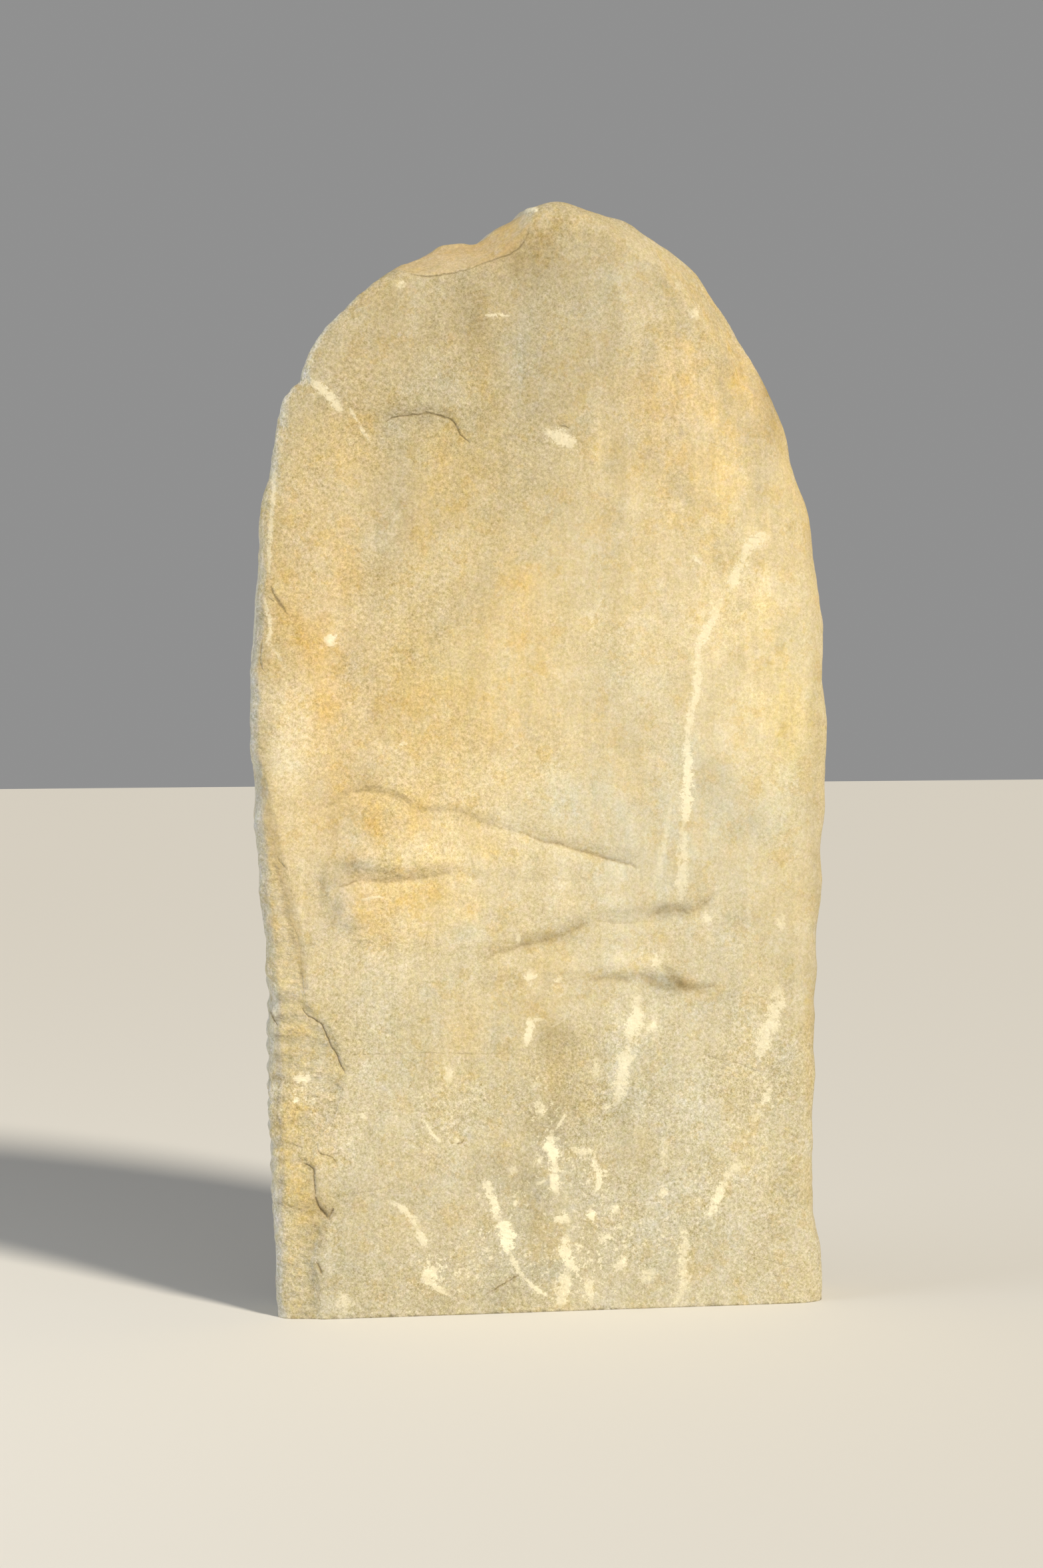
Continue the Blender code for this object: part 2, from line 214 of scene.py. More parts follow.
def run_tree(obj, tree, inputs):
    """Puts the tree on the object, sets its inputs and keeps the result as a plain mesh."""
    modifier = obj.modifiers.new(tree.name, "NODES")
    modifier.node_group = tree
    for item in tree.interface.items_tree:
        if item.name in inputs:
            modifier[item.identifier] = inputs[item.name]
    keep_result(obj)
    print(tree.name, "made", len(obj.data.polygons), "faces")


# %% [markdown]
# ## A copy to work on
# The construction model has about nine thousand large facets, too few to carry small relief. So the skin
# starts as a copy of it, with its doubled points merged. The smoothing that follows would round off the rim
# on which the stone stands, so the copy goes on below the ground for now, straight down, and that stump is
# cut off again when the skin is done.

# %% Copy the construction model
NET = 0.0034
SMOOTHING = 3
STUMP = 0.03

skin_material = bpy.data.materials.new("weathered stone")
stone = bpy.data.objects.new("stone_skin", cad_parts["stele"].data.copy())
scene.collection.objects.link(stone)


def add_stump(mesh):
    """Merges the doubled points and lengthens the stone straight down from its outline on the ground."""
    bm = bmesh.new()
    bm.from_mesh(mesh)
    bmesh.ops.remove_doubles(bm, verts=bm.verts, dist=1e-6)
    base = [face for face in bm.faces if max(corner.co.z for corner in face.verts) < 1e-5]
    lower = bmesh.ops.extrude_face_region(bm, geom=base)["geom"]
    corners = [item for item in lower if isinstance(item, bmesh.types.BMVert)]
    bmesh.ops.translate(bm, verts=corners, vec=(0, 0, -STUMP))
    bmesh.ops.delete(bm, geom=base, context="FACES")
    print("open or doubled edges with the stump on:", sum(not edge.is_manifold for edge in bm.edges))
    bm.to_mesh(mesh)
    bm.free()


add_stump(stone.data)

# %% [markdown]
# ## The left arris
# On the real stone the left edge of the face is crisp, and only a narrow strip of the side shows past it.
# The construction model rounds that edge more. Plain arithmetic on its points mends this: those near the
# rim move outwards, by an amount that depends on their height, and the movement dies away over the face
# and towards the back. It comes before the even net, so that the net has no stretched squares.

# %% Sharpen the left arris
# The heights, and how far the arris moves outwards at each.
FLARE = (
    (0.00, 0.40, 0.55, 0.70, 0.80, 0.90, 1.05, 1.12, 1.22, 1.28),
    (0.009, 0.010, 0.012, 0.010, 0.010, 0.010, 0.011, 0.017, 0.016, 0.0),
)
FLARE_WIDTH = 0.05  # it dies away over this much of the face
FLARE_FRONT = -0.045  # it is full in front of this plane
FLARE_FADE = 0.07  # and is gone this far behind it
FLARE_FROM = (0.10, 0.90)  # it moves straight away from this x, and above this z upwards as well
COARSE_BAND = 0.012  # the facets are large, so the rim is looked for this far above and below a level


def points_of(mesh):
    """The x, y and z of all points of a mesh."""
    places = np.empty(3 * len(mesh.vertices))
    mesh.vertices.foreach_get("co", places)
    return places.reshape(-1, 3).T


def left_rim(x, z, band):
    """The x of the left rim at the height of each point."""
    levels = np.arange(0.0, 1.34, 0.01)
    rim = [x[abs(z - level) < band].min() for level in levels]
    return np.interp(z, levels, rim)


def flare(mesh):
    """Moves the left edge of the face outwards and leaves the back of the stone where it is."""
    x, y, z = points_of(mesh)
    near_rim = np.clip(1 - (x - left_rim(x, z, COARSE_BAND)) / FLARE_WIDTH, 0, 1) ** 2
    near_face = np.clip(1 - (y - FLARE_FRONT) / FLARE_FADE, 0, 1) ** 2
    amount = np.interp(z, *FLARE) * near_rim * near_face
    outwards_x = x - FLARE_FROM[0]
    outwards_z = np.clip(z - FLARE_FROM[1], 0, None)
    distance = np.hypot(outwards_x, outwards_z) + 1e-9
    x += amount * outwards_x / distance
    z += amount * outwards_z / distance
    mesh.vertices.foreach_set("co", np.column_stack([x, y, z]).ravel())
    print("the left arris moves out by up to", round(1000 * float(amount.max()), 1), "mm")


flare(stone.data)

# %% [markdown]
# ## An even net
# A voxel remesh lays an even net of small squares over the whole surface. Smoothing that net turns the
# facets into the soft undulation of split stone.

# %% Even out the net
remesh = stone.modifiers.new("net", "REMESH")
remesh.mode = "VOXEL"
remesh.voxel_size = NET
smooth = stone.modifiers.new("soften facets", "CORRECTIVE_SMOOTH")
smooth.use_only_smooth = True
smooth.iterations = SMOOTHING
smooth.factor = 0.5
keep_result(stone)
print("the net has", len(stone.data.polygons), "squares")


# %% [markdown]
# ## Lines that the weather follows
# Cracks and chalky veins run along lines of their own, so each is drawn as a few points on the face,
# and a smooth curve goes through them. The lines lie in the upright plane y = 0 and become a mesh of
# edges, a guide, that Geometry Nodes can measure distances to. Each point of a guide also knows how
# wide the line is there, and how strong.

# %% Guides
GUIDE_STEP = 0.004
MIDDLE = 0.0015  # the lines are drawn from the stone's own axis, which lies this far left of its box's middle


def smooth_path(points, step=GUIDE_STEP):
    """Points about one step apart on a smooth curve through the given ones."""
    knots = np.array(points, float)
    knots = np.vstack([2 * knots[0] - knots[1], knots, 2 * knots[-1] - knots[-2]])
    runs = []
    for before, start, end, after in zip(knots, knots[1:], knots[2:], knots[3:]):
        count = max(1, round(float(np.linalg.norm(end - start)) / step))
        t = (np.arange(count) / count)[:, None]
        runs.append(
            start + t * (end - before) / 2
            + t**2 * (before - 2.5 * start + 2 * end - after / 2)
            + t**3 * (1.5 * (start - end) + (after - before) / 2)
        )
    return np.vstack([*runs, knots[-2:-1]])


def make_guide(name, lines):
    """A mesh of edges along the lines, each given as (points, half width, strength)."""
    places, edges, widths, strengths = [], [], [], []
    for points, half_width, strength in lines:
        path = smooth_path(points)
        first = len(places)
        places += [(x - MIDDLE, 0, z) for x, z in path]
        edges += [(first + i, first + i + 1) for i in range(len(path) - 1)]
        to_end = np.linspace(-1, 1, len(path)) ** 4
        widths += list(half_width * (1 - 0.55 * to_end))
        strengths += list(strength * (1 - 0.5 * to_end))
    mesh = bpy.data.meshes.new(name)
    mesh.from_pydata(places, edges, [])
    for label, values in (("half width", widths), ("strength", strengths)):
        mesh.attributes.new(label, "FLOAT", "POINT").data.foreach_set("value", values)
    guide = bpy.data.objects.new(name, mesh)
    scene.collection.objects.link(guide)
    print(name, "has", len(lines), "lines and", len(places), "points")
    return guide


# %% Cracks
# Four depths, in metres.
HAIR = 0.00025
THIN = 0.0007
OPEN = 0.0012
GAPING = 0.0020
# Each crack is (points, half width, depth).
CRACKS = [
    # beside the broken edge, from the top down
    ([(-0.300, 0.375), (-0.293, 0.367), (-0.283, 0.361), (-0.277, 0.356), (-0.271, 0.344), (-0.266, 0.331),
      (-0.259, 0.321), (-0.255, 0.310), (-0.248, 0.296)], 0.0011, OPEN),
    ([(-0.283, 0.213), (-0.281, 0.202), (-0.268, 0.198), (-0.258, 0.187)], 0.0009, THIN),
    ([(-0.299, 0.189), (-0.288, 0.183), (-0.287, 0.169), (-0.285, 0.150)], 0.0012, OPEN),
    ([(-0.285, 0.150), (-0.281, 0.137), (-0.273, 0.127), (-0.269, 0.122), (-0.266, 0.127),
      (-0.264, 0.134)], 0.0018, GAPING),
    ([(-0.340, 0.378), (-0.334, 0.366), (-0.328, 0.353)], 0.0010, OPEN),
    ([(-0.284, 0.070), (-0.281, 0.064), (-0.277, 0.054)], 0.0014, OPEN),
    # the faint line that joins them
    ([(-0.312, 0.480), (-0.303, 0.450), (-0.299, 0.400), (-0.293, 0.380)], 0.0009, HAIR),
    ([(-0.248, 0.296), (-0.256, 0.265), (-0.265, 0.240), (-0.278, 0.225), (-0.283, 0.213)], 0.0008, HAIR),
    ([(-0.270, 0.118), (-0.272, 0.110), (-0.280, 0.090), (-0.287, 0.076)], 0.0008, HAIR),
    ([(-0.282, 0.050), (-0.285, 0.038), (-0.280, 0.020), (-0.285, 0.004)], 0.0008, HAIR),
    # the lower lip of the spall at the top
    ([(-0.170, 1.254), (-0.160, 1.251), (-0.144, 1.250), (-0.118, 1.254), (-0.096, 1.260)], 0.0010, THIN),
    ([(-0.096, 1.260), (-0.073, 1.269), (-0.050, 1.277), (-0.036, 1.286), (-0.025, 1.304)], 0.0010, THIN),
    # the lip of the upper face
    ([(-0.197, 1.077), (-0.190, 1.082), (-0.175, 1.084), (-0.158, 1.086), (-0.146, 1.088), (-0.133, 1.084),
      (-0.120, 1.080), (-0.112, 1.071), (-0.108, 1.062), (-0.097, 1.053)], 0.0012, OPEN),
    # gashes of the left arris
    ([(-0.337, 0.880), (-0.328, 0.863), (-0.317, 0.848)], 0.0019, OPEN),
    ([(-0.340, 0.868), (-0.332, 0.862)], 0.0010, THIN),
    ([(-0.347, 0.815), (-0.349, 0.790), (-0.343, 0.778)], 0.0010, THIN),
    ([(-0.330, 0.558), (-0.320, 0.545)], 0.0011, THIN),
    # short ones at the foot and below the top
    ([(-0.077, 0.024), (-0.054, 0.037), (-0.036, 0.047)], 0.0012, THIN),
    ([(0.012, 1.074), (0.026, 1.071)], 0.0010, THIN),
    ([(-0.115, 0.208), (-0.108, 0.209), (-0.104, 0.214)], 0.0009, THIN),
    # hair cracks, hardly open
    ([(-0.256, 0.150), (-0.233, 0.152), (-0.202, 0.157), (-0.192, 0.163)], 0.0008, HAIR),
    ([(-0.248, 0.320), (-0.200, 0.319), (-0.150, 0.320), (-0.100, 0.317), (-0.045, 0.317)], 0.0007, HAIR),
    ([(0.040, 0.131), (0.100, 0.132), (0.150, 0.133), (0.185, 0.137)], 0.0008, HAIR),
    ([(0.193, 0.310), (0.212, 0.304), (0.235, 0.298), (0.255, 0.290), (0.280, 0.285)], 0.0009, HAIR),
    ([(0.247, 0.065), (0.285, 0.050), (0.320, 0.041)], 0.0007, HAIR),
    ([(0.245, 0.940), (0.262, 0.940)], 0.0008, HAIR),
]
cracks = make_guide("cracks", CRACKS)

# %% The edges of the daggers
# The stonemason pecked a groove along each edge, and weather has left the lower ones clearer. Each is
# (points, half width, depth).
DAGGER_LINES = [
    # the hollow that runs down beside the left rim
    ([(-0.346, 0.650), (-0.338, 0.600), (-0.327, 0.545), (-0.314, 0.490), (-0.303, 0.440), (-0.297, 0.400)],
     0.0070, 0.0022),
    # upper dagger: the top of its hilt, then the upper edge of the blade down to the point
    ([(-0.272, 0.615), (-0.263, 0.622), (-0.243, 0.634), (-0.218, 0.637), (-0.199, 0.634), (-0.179, 0.627),
      (-0.163, 0.613)], 0.0045, 0.0011),
    ([(-0.163, 0.613), (-0.138, 0.613), (-0.110, 0.611), (-0.088, 0.600), (-0.060, 0.591),
      (-0.030, 0.583)], 0.0045, 0.0007),
    ([(-0.034, 0.584), (-0.006, 0.573), (0.012, 0.570), (0.031, 0.563), (0.050, 0.558), (0.069, 0.552),
      (0.088, 0.547), (0.100, 0.544), (0.109, 0.539)], 0.0028, 0.0015),
    # upper dagger: the line below its midrib
    ([(-0.288, 0.506), (-0.271, 0.512)], 0.0014, 0.0009),
    ([(-0.259, 0.521), (-0.243, 0.525), (-0.232, 0.529)], 0.0014, 0.0014),
    ([(-0.227, 0.529), (-0.199, 0.527), (-0.179, 0.529), (-0.154, 0.531), (-0.143, 0.533),
      (-0.124, 0.536)], 0.0040, 0.0012),
    ([(-0.050, 0.526), (0.000, 0.526), (0.085, 0.525)], 0.0030, 0.0003),
    # lower dagger: upper edge
    ([(-0.081, 0.428), (-0.066, 0.437), (-0.048, 0.442), (-0.034, 0.447)], 0.0035, 0.0010),
    ([(-0.034, 0.447), (-0.006, 0.453), (0.012, 0.458), (0.034, 0.466), (0.047, 0.473)], 0.0050, 0.0013),
    ([(0.055, 0.477), (0.066, 0.475), (0.088, 0.472), (0.119, 0.475)], 0.0018, 0.0006),
    ([(0.119, 0.475), (0.131, 0.484), (0.150, 0.489), (0.172, 0.486), (0.188, 0.492),
      (0.206, 0.506)], 0.0060, 0.0012),
    # lower dagger: lower edge
    ([(0.050, 0.403), (0.080, 0.405), (0.103, 0.400)], 0.0045, 0.0009),
    ([(0.141, 0.419), (0.150, 0.410), (0.156, 0.403), (0.163, 0.394), (0.181, 0.391),
      (0.205, 0.394)], 0.0060, 0.0014),
]
dagger_lines = make_guide("dagger lines", DAGGER_LINES)

# %% [markdown]
# ## Carving the small relief
# The first Geometry Nodes tree gives the whole stone its weathering: broad lumps, the pecking left by
# hammer stones, flake scars where sides and arrises were struck, and the ripples of the lower left edge.

# %% Tree: the weathered skin
SKIN_SIZES = {
    "Lump height": 0.0016, "Lump size": 0.045, "Dent height": 0.0010, "Dent size": 0.014,
    "Flake depth": 0.0030, "Flake size": 0.034, "Chip depth": 0.0016, "Chip size": 0.012,
    "Ripple depth": 0.0013, "Ripple pitch": 0.025,
}


def skin_tree():
    tree, given = start_tree("weathered skin", SKIN_SIZES)
    place = node(tree, "GeometryNodeInputPosition")
    normal = node(tree, "GeometryNodeInputNormal")
    x, y, z = parts_of(place)
    side = (1 - rise(abs(parts_of(normal)[1]), 0.75, 0.97)) * rise(x, 0.0, -0.25, 0.35, 1.0)
    lumps = (noise(place / given["Lump size"], 0.5, 2) - 0.5) * given["Lump height"]
    dents = (noise(place / given["Dent size"], 0.5, 1) - 0.5) * given["Dent height"]
    dents = dents * rise(z, 0.9, 0.3, 0.6, 1.3)
    flakes = (scars(place, given["Flake size"]) - 0.5) * given["Flake depth"] * side
    chips = (scars(place, given["Chip size"]) - 0.5) * given["Chip depth"] * side
    wave = node(
        tree, "ShaderNodeMath", {"operation": "SINE"},
        {0: (z + 0.02 * noise(place, 0.03)) * 2 * math.pi / given["Ripple pitch"]},
    )
    rippled = rise(x, -0.30, -0.33) * rise(z, 0.08, 0.14) * rise(z, 0.45, 0.38)
    ripples = wave * given["Ripple depth"] * rippled
    relief = lumps + dents + flakes + chips + ripples
    moved = node(
        tree, "GeometryNodeSetPosition",
        sockets={"Geometry": given["Geometry"], "Offset": normal * relief},
    )
    finish_tree(moved, skin_material)
    return tree


def scars(place, size):
    """Shallow bowls side by side with sharp ridges between them, 0 to about 1, as struck flakes leave."""
    return node(
        place.tree, "ShaderNodeTexVoronoi", {"feature": "F1"}, {"Vector": place / size, "Scale": 1.0}
    )["Distance"]


run_tree(stone, skin_tree(), SKIN_SIZES)

# %% [markdown]
# ## Single bites out of the rim
# A few places of the outline are too particular to be left to noise: here a flake has gone, and there a
# knob was left standing. Each is one entry of a list. The points around it move towards the middle of the
# stone or away from it, most of all at the centre of the place.

# %% Bites and knobs
# Each is (x, z, radius, depth), and a negative depth is a knob left standing.
BITES = [
    (-0.298, 1.127, 0.014, 0.006), (-0.311, 1.100, 0.018, -0.003),
    (-0.020, 1.336, 0.012, -0.003), (-0.110, 1.292, 0.016, 0.002),
]


def bite(mesh, x, z, radius, depth):
    """Pushes the rim near a place towards the middle of the stone."""
    inwards = (Vector((0.0, 0.0, 0.6)) - Vector((x, 0.0, z))).normalized()
    moved = 0
    for point in mesh.vertices:
        away = math.hypot(point.co.x + MIDDLE - x, point.co.z - z) / radius
        if away < 1:
            point.co += inwards * depth * (1 - away**2) ** 2
            moved += 1
    print("a bite at", (x, z), "moves", moved, "points")


for place in BITES:
    bite(stone.data, *place)

# %% [markdown]
# ## A finer net around the lines
# A crack is narrower than a square of the net and would fall between its points. So the squares near the
# lines are divided, twice beside the cracks and once beside the edges of the daggers.

# %% Divide the net around the lines
NEAR_CRACK = (0.009, 0.0045)  # each round of division reaches this far from a crack
NEAR_DAGGER_LINE = (0.007,)


def divide_near(mesh, guide, reach):
    tree = KDTree(len(guide.data.vertices))
    for point in guide.data.vertices:
        tree.insert(point.co, point.index)
    tree.balance()
    bm = bmesh.new()
    bm.from_mesh(mesh)
    near = set()
    for face in bm.faces:
        middle = face.calc_center_median()
        if middle.y < 0 and tree.find((middle.x, 0, middle.z))[2] < reach:
            near.update(face.edges)
    bmesh.ops.subdivide_edges(bm, edges=list(near), cuts=1, use_grid_fill=True, smooth=0.5)
    bmesh.ops.triangulate(bm, faces=[face for face in bm.faces if len(face.verts) > 4])
    bm.to_mesh(mesh)
    bm.free()
    print("divided within", reach, "m of the", guide.name + ":", len(mesh.polygons), "faces")


for guide, reaches in ((cracks, NEAR_CRACK), (dagger_lines, NEAR_DAGGER_LINE)):
    for reach in reaches:
        divide_near(stone.data, guide, reach)

# %% [markdown]
# ## Cutting the lines
# The second tree measures how far each point is from a guide, with a little noise so that the line wanders
# as a break does, and pushes the near ones into the stone. It runs once for the cracks and once for the
# edges of the daggers.

# %% Tree: lines cut along a guide
CUT_SIZES = {"Wander": 0.0035, "Wander size": 0.007, "Guide": cracks}


def nearest_on(tree, guide, place):
    """The nearest point of the guide, and the half width and strength of its line there."""
    lines = node(
        tree, "GeometryNodeObjectInfo", {"transform_space": "ORIGINAL"}, {"Object": guide}
    )["Geometry"]
    point = node(
        tree, "GeometryNodeProximity", {"target_element": "EDGES"},
        {"Target": lines, "Source Position": place},
    )["Position"]
    index = node(
        tree, "GeometryNodeSampleNearest", {"domain": "POINT"},
        {"Geometry": lines, "Sample Position": place},
    )
    found = []
    for label in ("half width", "strength"):
        value = node(tree, "GeometryNodeInputNamedAttribute", {"data_type": "FLOAT"}, {"Name": label})
        found.append(node(
            tree, "GeometryNodeSampleIndex", {"data_type": "FLOAT", "domain": "POINT"},
            {"Geometry": lines, "Value": value, "Index": index},
        ))
    return point, found[0], found[1]


def wandering(place, amount, size):
    """The place, pushed a little to and fro and laid flat into the plane of the guides."""
    jitter = node(
        place.tree, "ShaderNodeTexNoise", sockets={"Vector": place / size, "Scale": 1.0, "Detail": 2.0}
    )["Color"]
    x, y, z = parts_of(place + (jitter - (0.5, 0.5, 0.5)) * amount)
    return vector_of(place.tree, x, 0.0, z)


def cutting_tree():
    tree, given = start_tree("lines cut along a guide", CUT_SIZES)
    place = node(tree, "GeometryNodeInputPosition")
    flat = wandering(place, given["Wander"], given["Wander size"])
    point, half_width, depth = nearest_on(tree, given["Guide"], flat)
    gap = length(flat - point)
    face = rise(parts_of(place)[1], 0.0, -0.02)
    cut = depth * rise(gap / half_width, 1.5, 0.2) * face
    moved = node(
        tree, "GeometryNodeSetPosition",
        sockets={"Geometry": given["Geometry"], "Offset": vector_of(tree, 0.0, cut, 0.0)},
    )
    finish_tree(moved, skin_material)
    return tree


cut_lines = cutting_tree()
run_tree(stone, cut_lines, {**CUT_SIZES, "Guide": cracks})
run_tree(stone, cut_lines, {**CUT_SIZES, "Guide": dagger_lines})

# %% [markdown]
# ## Thinning the net
# The net now has more triangles than a reusable part should carry. Decimate removes those that matter
# least, and a vertex group tells it where: first on the back, which has no fine relief and keeps one
# triangle in five, and then on the face and the sides, until the total is right. Last, the stump is cut
# off, so that the foot is flat and its rim sharp.

# %% Thin the net
TRIANGLES = 188_000
BACK_FROM = 0.035  # the back, for this purpose, is all that lies behind this plane
BACK_SHARE = 0.20


def count_triangles(mesh):
    return sum(len(face.vertices) - 2 for face in mesh.polygons)


def thin_out(obj, chosen, share):
    """Keeps the given share of the triangles around the points that the rule chooses."""
    group = obj.vertex_groups.new(name="may be thinned")
    free = [point.index for point in obj.data.vertices if chosen(point.co)]
    group.add(free, 1.0, "REPLACE")
    free = set(free)
    inside = sum(len(face.vertices) - 2 for face in obj.data.polygons if free.issuperset(face.vertices))
    before = count_triangles(obj.data)
    thin = obj.modifiers.new("thin", "DECIMATE")
    thin.ratio = 1 - (1 - share) * inside / before
    thin.vertex_group = group.name
    thin.vertex_group_factor = 1.0
    keep_result(obj)
    obj.vertex_groups.clear()
    print("thinned from", before, "to", count_triangles(obj.data), "triangles")


thin_out(stone, lambda place: place.y > BACK_FROM, BACK_SHARE)
front_share = 1 - (count_triangles(stone.data) - TRIANGLES) / sum(
    len(face.vertices) - 2 for face in stone.data.polygons if face.center.y <= BACK_FROM
)
thin_out(stone, lambda place: place.y <= BACK_FROM, front_share)


# %% Cut off the stump
def cut_foot(mesh):
    bm = bmesh.new()
    bm.from_mesh(mesh)
    whole = bm.verts[:] + bm.edges[:] + bm.faces[:]
    cut = bmesh.ops.bisect_plane(
        bm, geom=whole, dist=1e-6, plane_co=(0, 0, 0), plane_no=(0, 0, -1), clear_outer=True
    )
    rim = [item for item in cut["geom_cut"] if isinstance(item, bmesh.types.BMEdge)]
    sole = bmesh.ops.holes_fill(bm, edges=rim)["faces"]
    bmesh.ops.triangulate(bm, faces=sole)
    bmesh.ops.recalc_face_normals(bm, faces=bm.faces)
    print("open edges after the cut:", sum(not edge.is_manifold for edge in bm.edges))
    bm.to_mesh(mesh)
    bm.free()


cut_foot(stone.data)

# %% [markdown]
# ## What the paint has to know
# The material can't ask how far it is from a vein, or whether it lies in a hollow, so a third tree works
# that out and leaves it on the points as attributes. For every line it stores the step from the nearest
# point of the line as well as the plain distance: a step changes sign across the line, so it stays true
# between two points of the net, and the distance tells where a step merely swings over from one line to
# the next. Hollows come from comparing each point with a blurred copy of the net.

# %% White veins, scrapes and spots
# Five strengths, from hardly there to the few that catch the eye.
FAINT = 0.22
SOFT = 0.38
PLAIN = 0.50
CLEAR = 0.65
BRIGHT = 0.85
